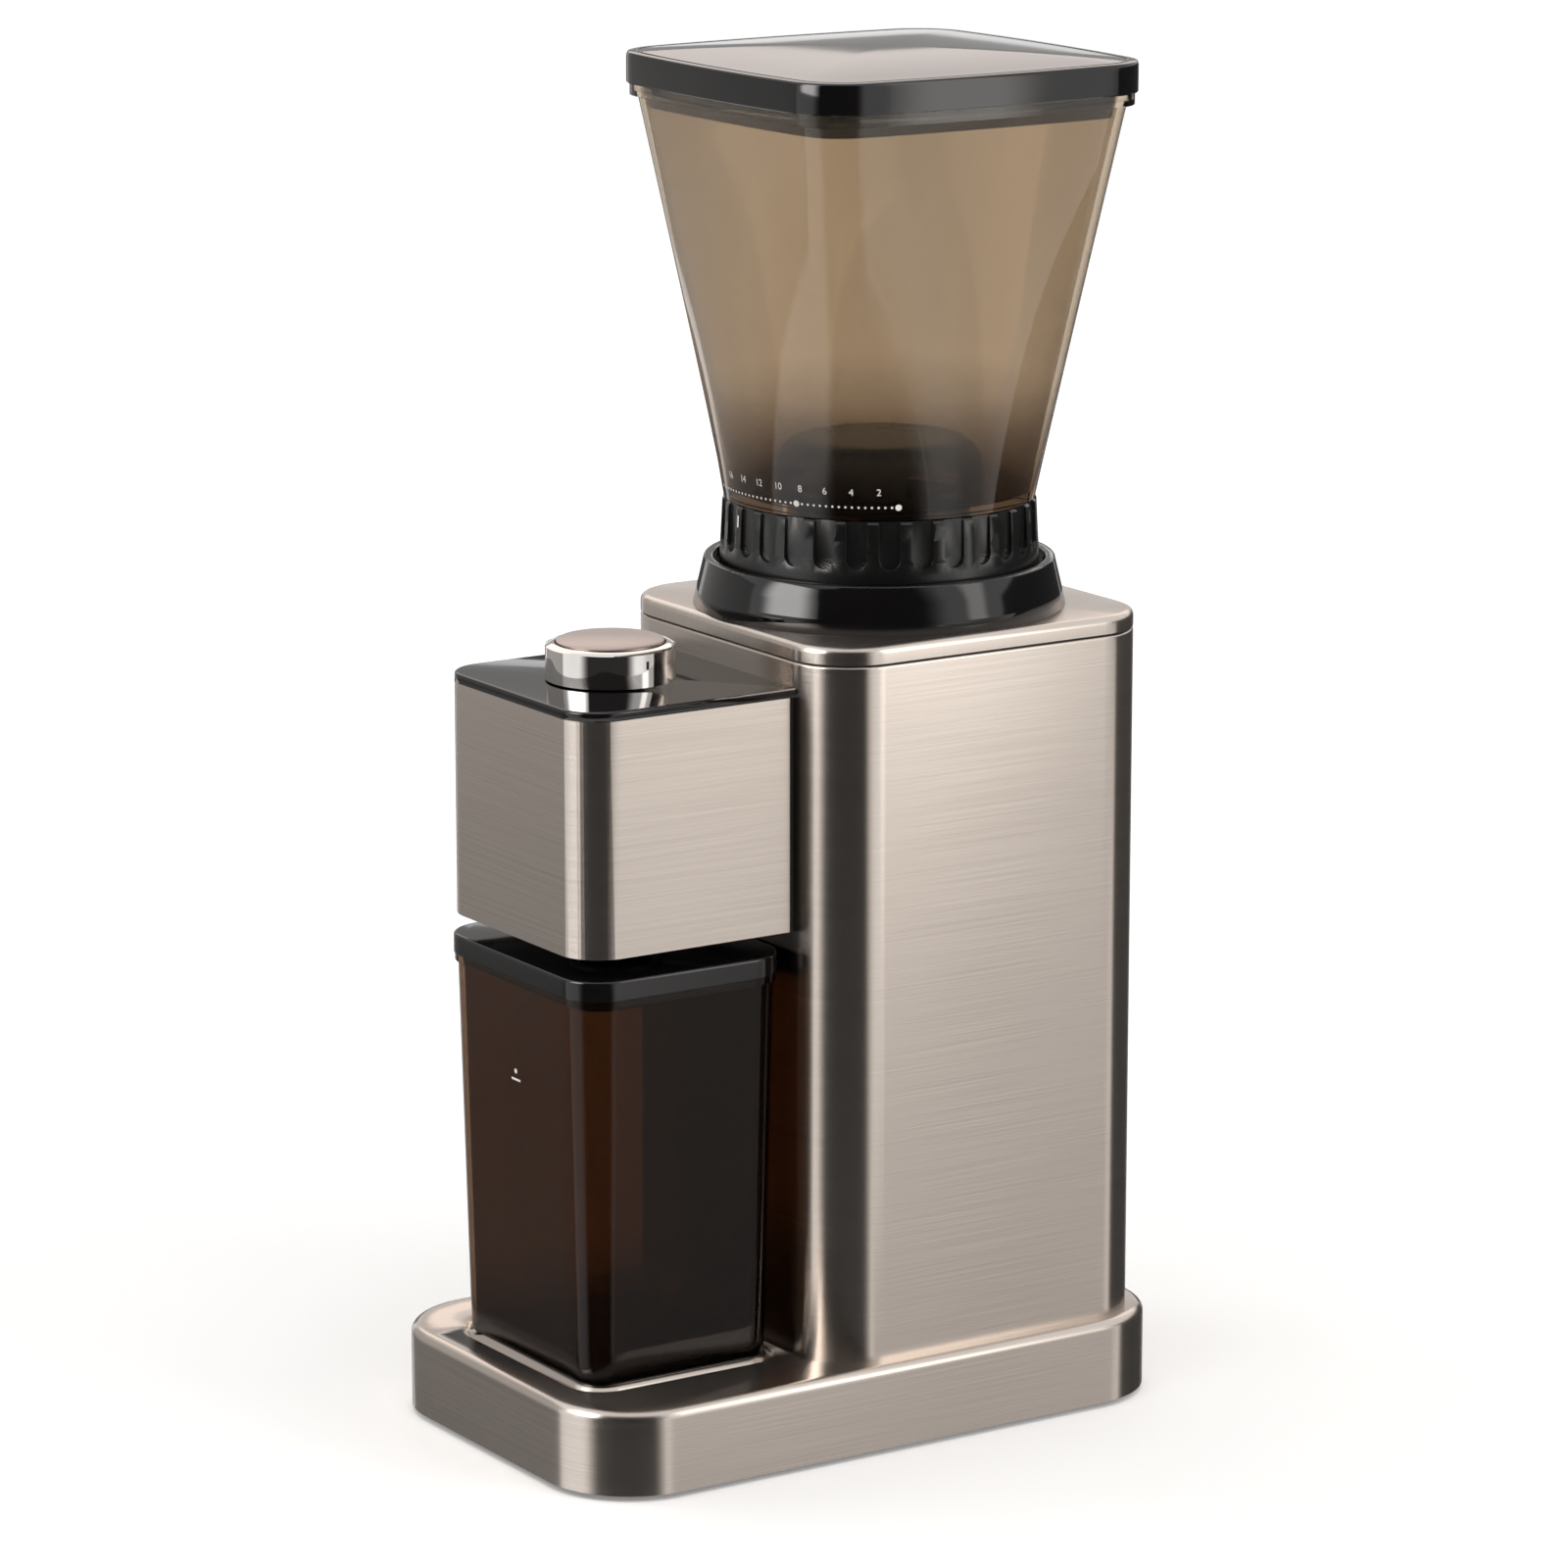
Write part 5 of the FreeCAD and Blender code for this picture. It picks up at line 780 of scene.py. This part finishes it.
# %% [markdown]
# Studio. The object stands on a pale floor before white. Brushed steel only shows its shape by what it mirrors, so
# the studio has large soft lights and upright cards, as a product photographer sets them: a black card by the camera
# draws the dark bands on the rounded corners, a grey one on the left tones the front faces, pale ones on the right make
# the right faces fade downwards, a soft box in front lights the collar and a warm card behind tones the lid. Cards show
# in reflections alone, so they neither light nor shade anything. The floor is left out of reflections, so that the
# steel mirrors the cards, and glows more with distance, so that it turns white and keeps the shadow by the object.

# %% Floor and world
def stage_plane(name, size, place, facing, material):
    """Square card of the studio that looks towards a direction."""
    work = bmesh.new()
    turn = Vector(facing).normalized().to_track_quat("Z", "Y").to_matrix().to_4x4()
    scale = Matrix.Diagonal((size[0] / 2, size[1] / 2, 1.0, 1.0))
    bmesh.ops.create_grid(work, x_segments=1, y_segments=1, size=1.0,
                          matrix=Matrix.Translation(Vector(place)) @ turn @ scale)
    mesh = bpy.data.meshes.new(name)
    work.to_mesh(mesh)
    work.free()
    mesh.materials.append(material)
    card = bpy.data.objects.new(name, mesh)
    bpy.context.scene.collection.objects.link(card)
    return card


FLOOR_SIZE = 14.0
FLOOR_DROP = 0.3 * MM
NEAR, FAR = 0.25, 1.6
NEAR_GLOW, FAR_GLOW = 0.16, 0.5
ROOM_LIGHT = 0.55
floor_paper = bpy.data.materials.new("white_backdrop_paper")
floor_paper.use_nodes = True
tree = floor_paper.node_tree
paper = tree.nodes["Principled BSDF"]
paper.inputs["Base Color"].default_value = linear("#F4F2F0")
paper.inputs["Roughness"].default_value = 0.9
paper.inputs["Specular IOR Level"].default_value = 0.1
ray = add_node(tree, "ShaderNodeLightPath")
seen = add_node(tree, "ShaderNodeMath", {"operation": "MAXIMUM"},
                links={0: ray.outputs["Is Camera Ray"], 1: ray.outputs["Is Transmission Ray"]}).outputs["Value"]
place = add_node(tree, "ShaderNodeTexCoord").outputs["Object"]
far = add_node(tree, "ShaderNodeVectorMath", {"operation": "LENGTH"}, links={0: place}).outputs["Value"]
lift = add_node(tree, "ShaderNodeMapRange",
                inputs={"From Min": NEAR, "From Max": FAR, "To Min": NEAR_GLOW, "To Max": FAR_GLOW},
                links={"Value": far}).outputs["Result"]
shown = add_node(tree, "ShaderNodeMath", {"operation": "MULTIPLY"}, links={0: seen, 1: lift}).outputs["Value"]
glow = add_node(tree, "ShaderNodeEmission", inputs={"Color": (1, 1, 1, 1)}, links={"Strength": shown})
lit = add_node(tree, "ShaderNodeAddShader")
tree.links.new(paper.outputs["BSDF"], lit.inputs[0])
tree.links.new(glow.outputs["Emission"], lit.inputs[1])
tree.links.new(lit.outputs["Shader"], tree.nodes["Material Output"].inputs["Surface"])
floor = stage_plane("floor", (FLOOR_SIZE, FLOOR_SIZE), (0.0, 0.0, -FLOOR_DROP), (0, 0, 1), floor_paper)
floor.visible_glossy = False

world = bpy.data.worlds.new("white_studio")
world.use_nodes = True
tree = world.node_tree
ray = add_node(tree, "ShaderNodeLightPath")
seen = add_node(tree, "ShaderNodeMath", {"operation": "MAXIMUM"},
                links={0: ray.outputs["Is Camera Ray"], 1: ray.outputs["Is Glossy Ray"]})
seen = add_node(tree, "ShaderNodeMath", {"operation": "MAXIMUM"},
                links={0: seen.outputs["Value"], 1: ray.outputs["Is Transmission Ray"]})
sky = tree.nodes["Background"]
sky.inputs["Color"].default_value = (1, 1, 1, 1)
tree.links.new(value_between(tree, seen.outputs["Value"], ROOM_LIGHT, 1.0), sky.inputs["Strength"])
world.cycles.sampling_method = "NONE"
bpy.context.scene.world = world
print("studio", floor.name, world.name)

# %% Lights and cards
def area_light(name, size, place, target, power):
    """Soft box of a size that looks from a place to a target."""
    lamp = bpy.data.lights.new(name, "AREA")
    lamp.shape = "RECTANGLE"
    lamp.size, lamp.size_y = size
    lamp.energy = power
    box = bpy.data.objects.new(name, lamp)
    box.location = place
    box.visible_glossy = False
    box.rotation_mode = "QUATERNION"
    box.rotation_quaternion = (Vector(target) - Vector(place)).to_track_quat("-Z", "Y")
    bpy.context.scene.collection.objects.link(box)


LIGHT_TARGET = (0.0, 0.0, 0.2)
# Name, size, place and power of each light.
LIGHTS = (
    ("top_soft_box", (1.6, 1.6), (0.2, -0.2, 1.9), 16.0),
    ("right_soft_box", (1.0, 1.6), (1.6, 0.9, 0.9), 12.0),
    ("left_soft_box", (0.8, 1.2), (-1.3, -1.2, 0.8), 6.0),
)
for name, size, place, power in LIGHTS:
    area_light(name, size, place, LIGHT_TARGET, power)

TONE_LOW = -0.3
TONE_HIGH = 0.1
PALE_TINT = (1.0, 0.975, 0.95, 1.0)
WARM_TINT = (1.0, 0.91, 0.86, 1.0)


def studio_card(name, tones, bearing, distance, width, heights, soft, tint):
    """Upright card at a bearing from the front, seen only in reflections, whose sides fade out softly."""
    material = bpy.data.materials.new(name)
    material.use_nodes = True
    tree = material.node_tree
    place = add_node(tree, "ShaderNodeTexCoord").outputs["Object"]
    level = add_node(tree, "ShaderNodeSeparateXYZ", links={"Vector": place}).outputs["Z"]
    tone = add_node(tree, "ShaderNodeMapRange", inputs={"From Min": TONE_LOW, "From Max": TONE_HIGH,
                    "To Min": tones[0], "To Max": tones[1]}, links={"Value": level}).outputs["Result"]
    along = add_node(tree, "ShaderNodeVectorMath", {"operation": "DOT_PRODUCT"},
                     {1: (math.cos(bearing), math.sin(bearing), 0.0)}, {0: place}).outputs["Value"]
    off_middle = add_node(tree, "ShaderNodeMath", {"operation": "ABSOLUTE"}, links={0: along}).outputs["Value"]
    faded = add_node(tree, "ShaderNodeMapRange", {"interpolation_type": "SMOOTHSTEP"},
                     {"From Min": width / 2 - soft, "From Max": width / 2, "To Max": 1.0},
                     {"Value": off_middle, "To Min": tone}).outputs["Result"]
    glow = add_node(tree, "ShaderNodeEmission", inputs={"Color": tint}, links={"Strength": faded})
    tree.links.new(glow.outputs["Emission"], tree.nodes["Material Output"].inputs["Surface"])
    outward = Vector((math.sin(bearing), -math.cos(bearing), 0.0))
    middle = outward * distance + Vector((0, 0, sum(heights) / 2))
    card = stage_plane(name, (width, heights[1] - heights[0]), middle, -outward, material)
    for ray_kind in ("camera", "diffuse", "transmission", "shadow"):
        setattr(card, "visible_" + ray_kind, False)


# Name, tones at foot and top, bearing, distance, width, heights, soft edge and tint of each card.
CARDS = (
    ("black_card_by_camera", (0.03, 0.03), 52.0, 1.3, 3.2, (-1.2, 1.6), 0.8, PALE_TINT),
    ("grey_card_on_left", (0.2, 0.5), -62.0, 1.4, 1.7, (-1.2, 1.0), 0.1, PALE_TINT),
    ("pale_card_on_right", (0.4, 0.72), 130.0, 0.9, 0.62, (-1.0, 0.16), 0.26, PALE_TINT),
    ("low_card_on_right", (0.5, 0.62), 123.0, 0.88, 0.9, (-1.0, -0.1), 0.2, PALE_TINT),
    ("soft_box_on_right", (3.0, 3.0), 121.0, 0.95, 0.3, (0.16, 1.0), 0.1, PALE_TINT),
    ("soft_box_in_front", (8.0, 8.0), -4.0, 1.1, 0.9, (0.44, 1.2), 0.3, PALE_TINT),
    ("dark_card_behind", (0.06, 0.06), 176.0, 1.4, 2.3, (-1.2, 0.5), 0.2, PALE_TINT),
    ("grey_card_behind", (0.42, 0.42), 237.0, 1.4, 2.2, (0.45, 0.62), 0.2, PALE_TINT),
    ("low_card_behind", (0.1, 0.1), 237.0, 1.5, 1.4, (-0.9, 0.3), 0.1, PALE_TINT),
    ("warm_card_behind", (1.4, 1.4), 237.0, 1.4, 2.2, (0.62, 1.7), 0.2, WARM_TINT),
)
for name, tones, degrees, distance, width, heights, soft, tint in CARDS:
    studio_card(name, tones, math.radians(degrees), distance, width, heights, soft, tint)
print("lights", len(LIGHTS), "cards", len(CARDS))

# %% View settings and the end
bpy.context.scene.view_settings.view_transform = "Standard"
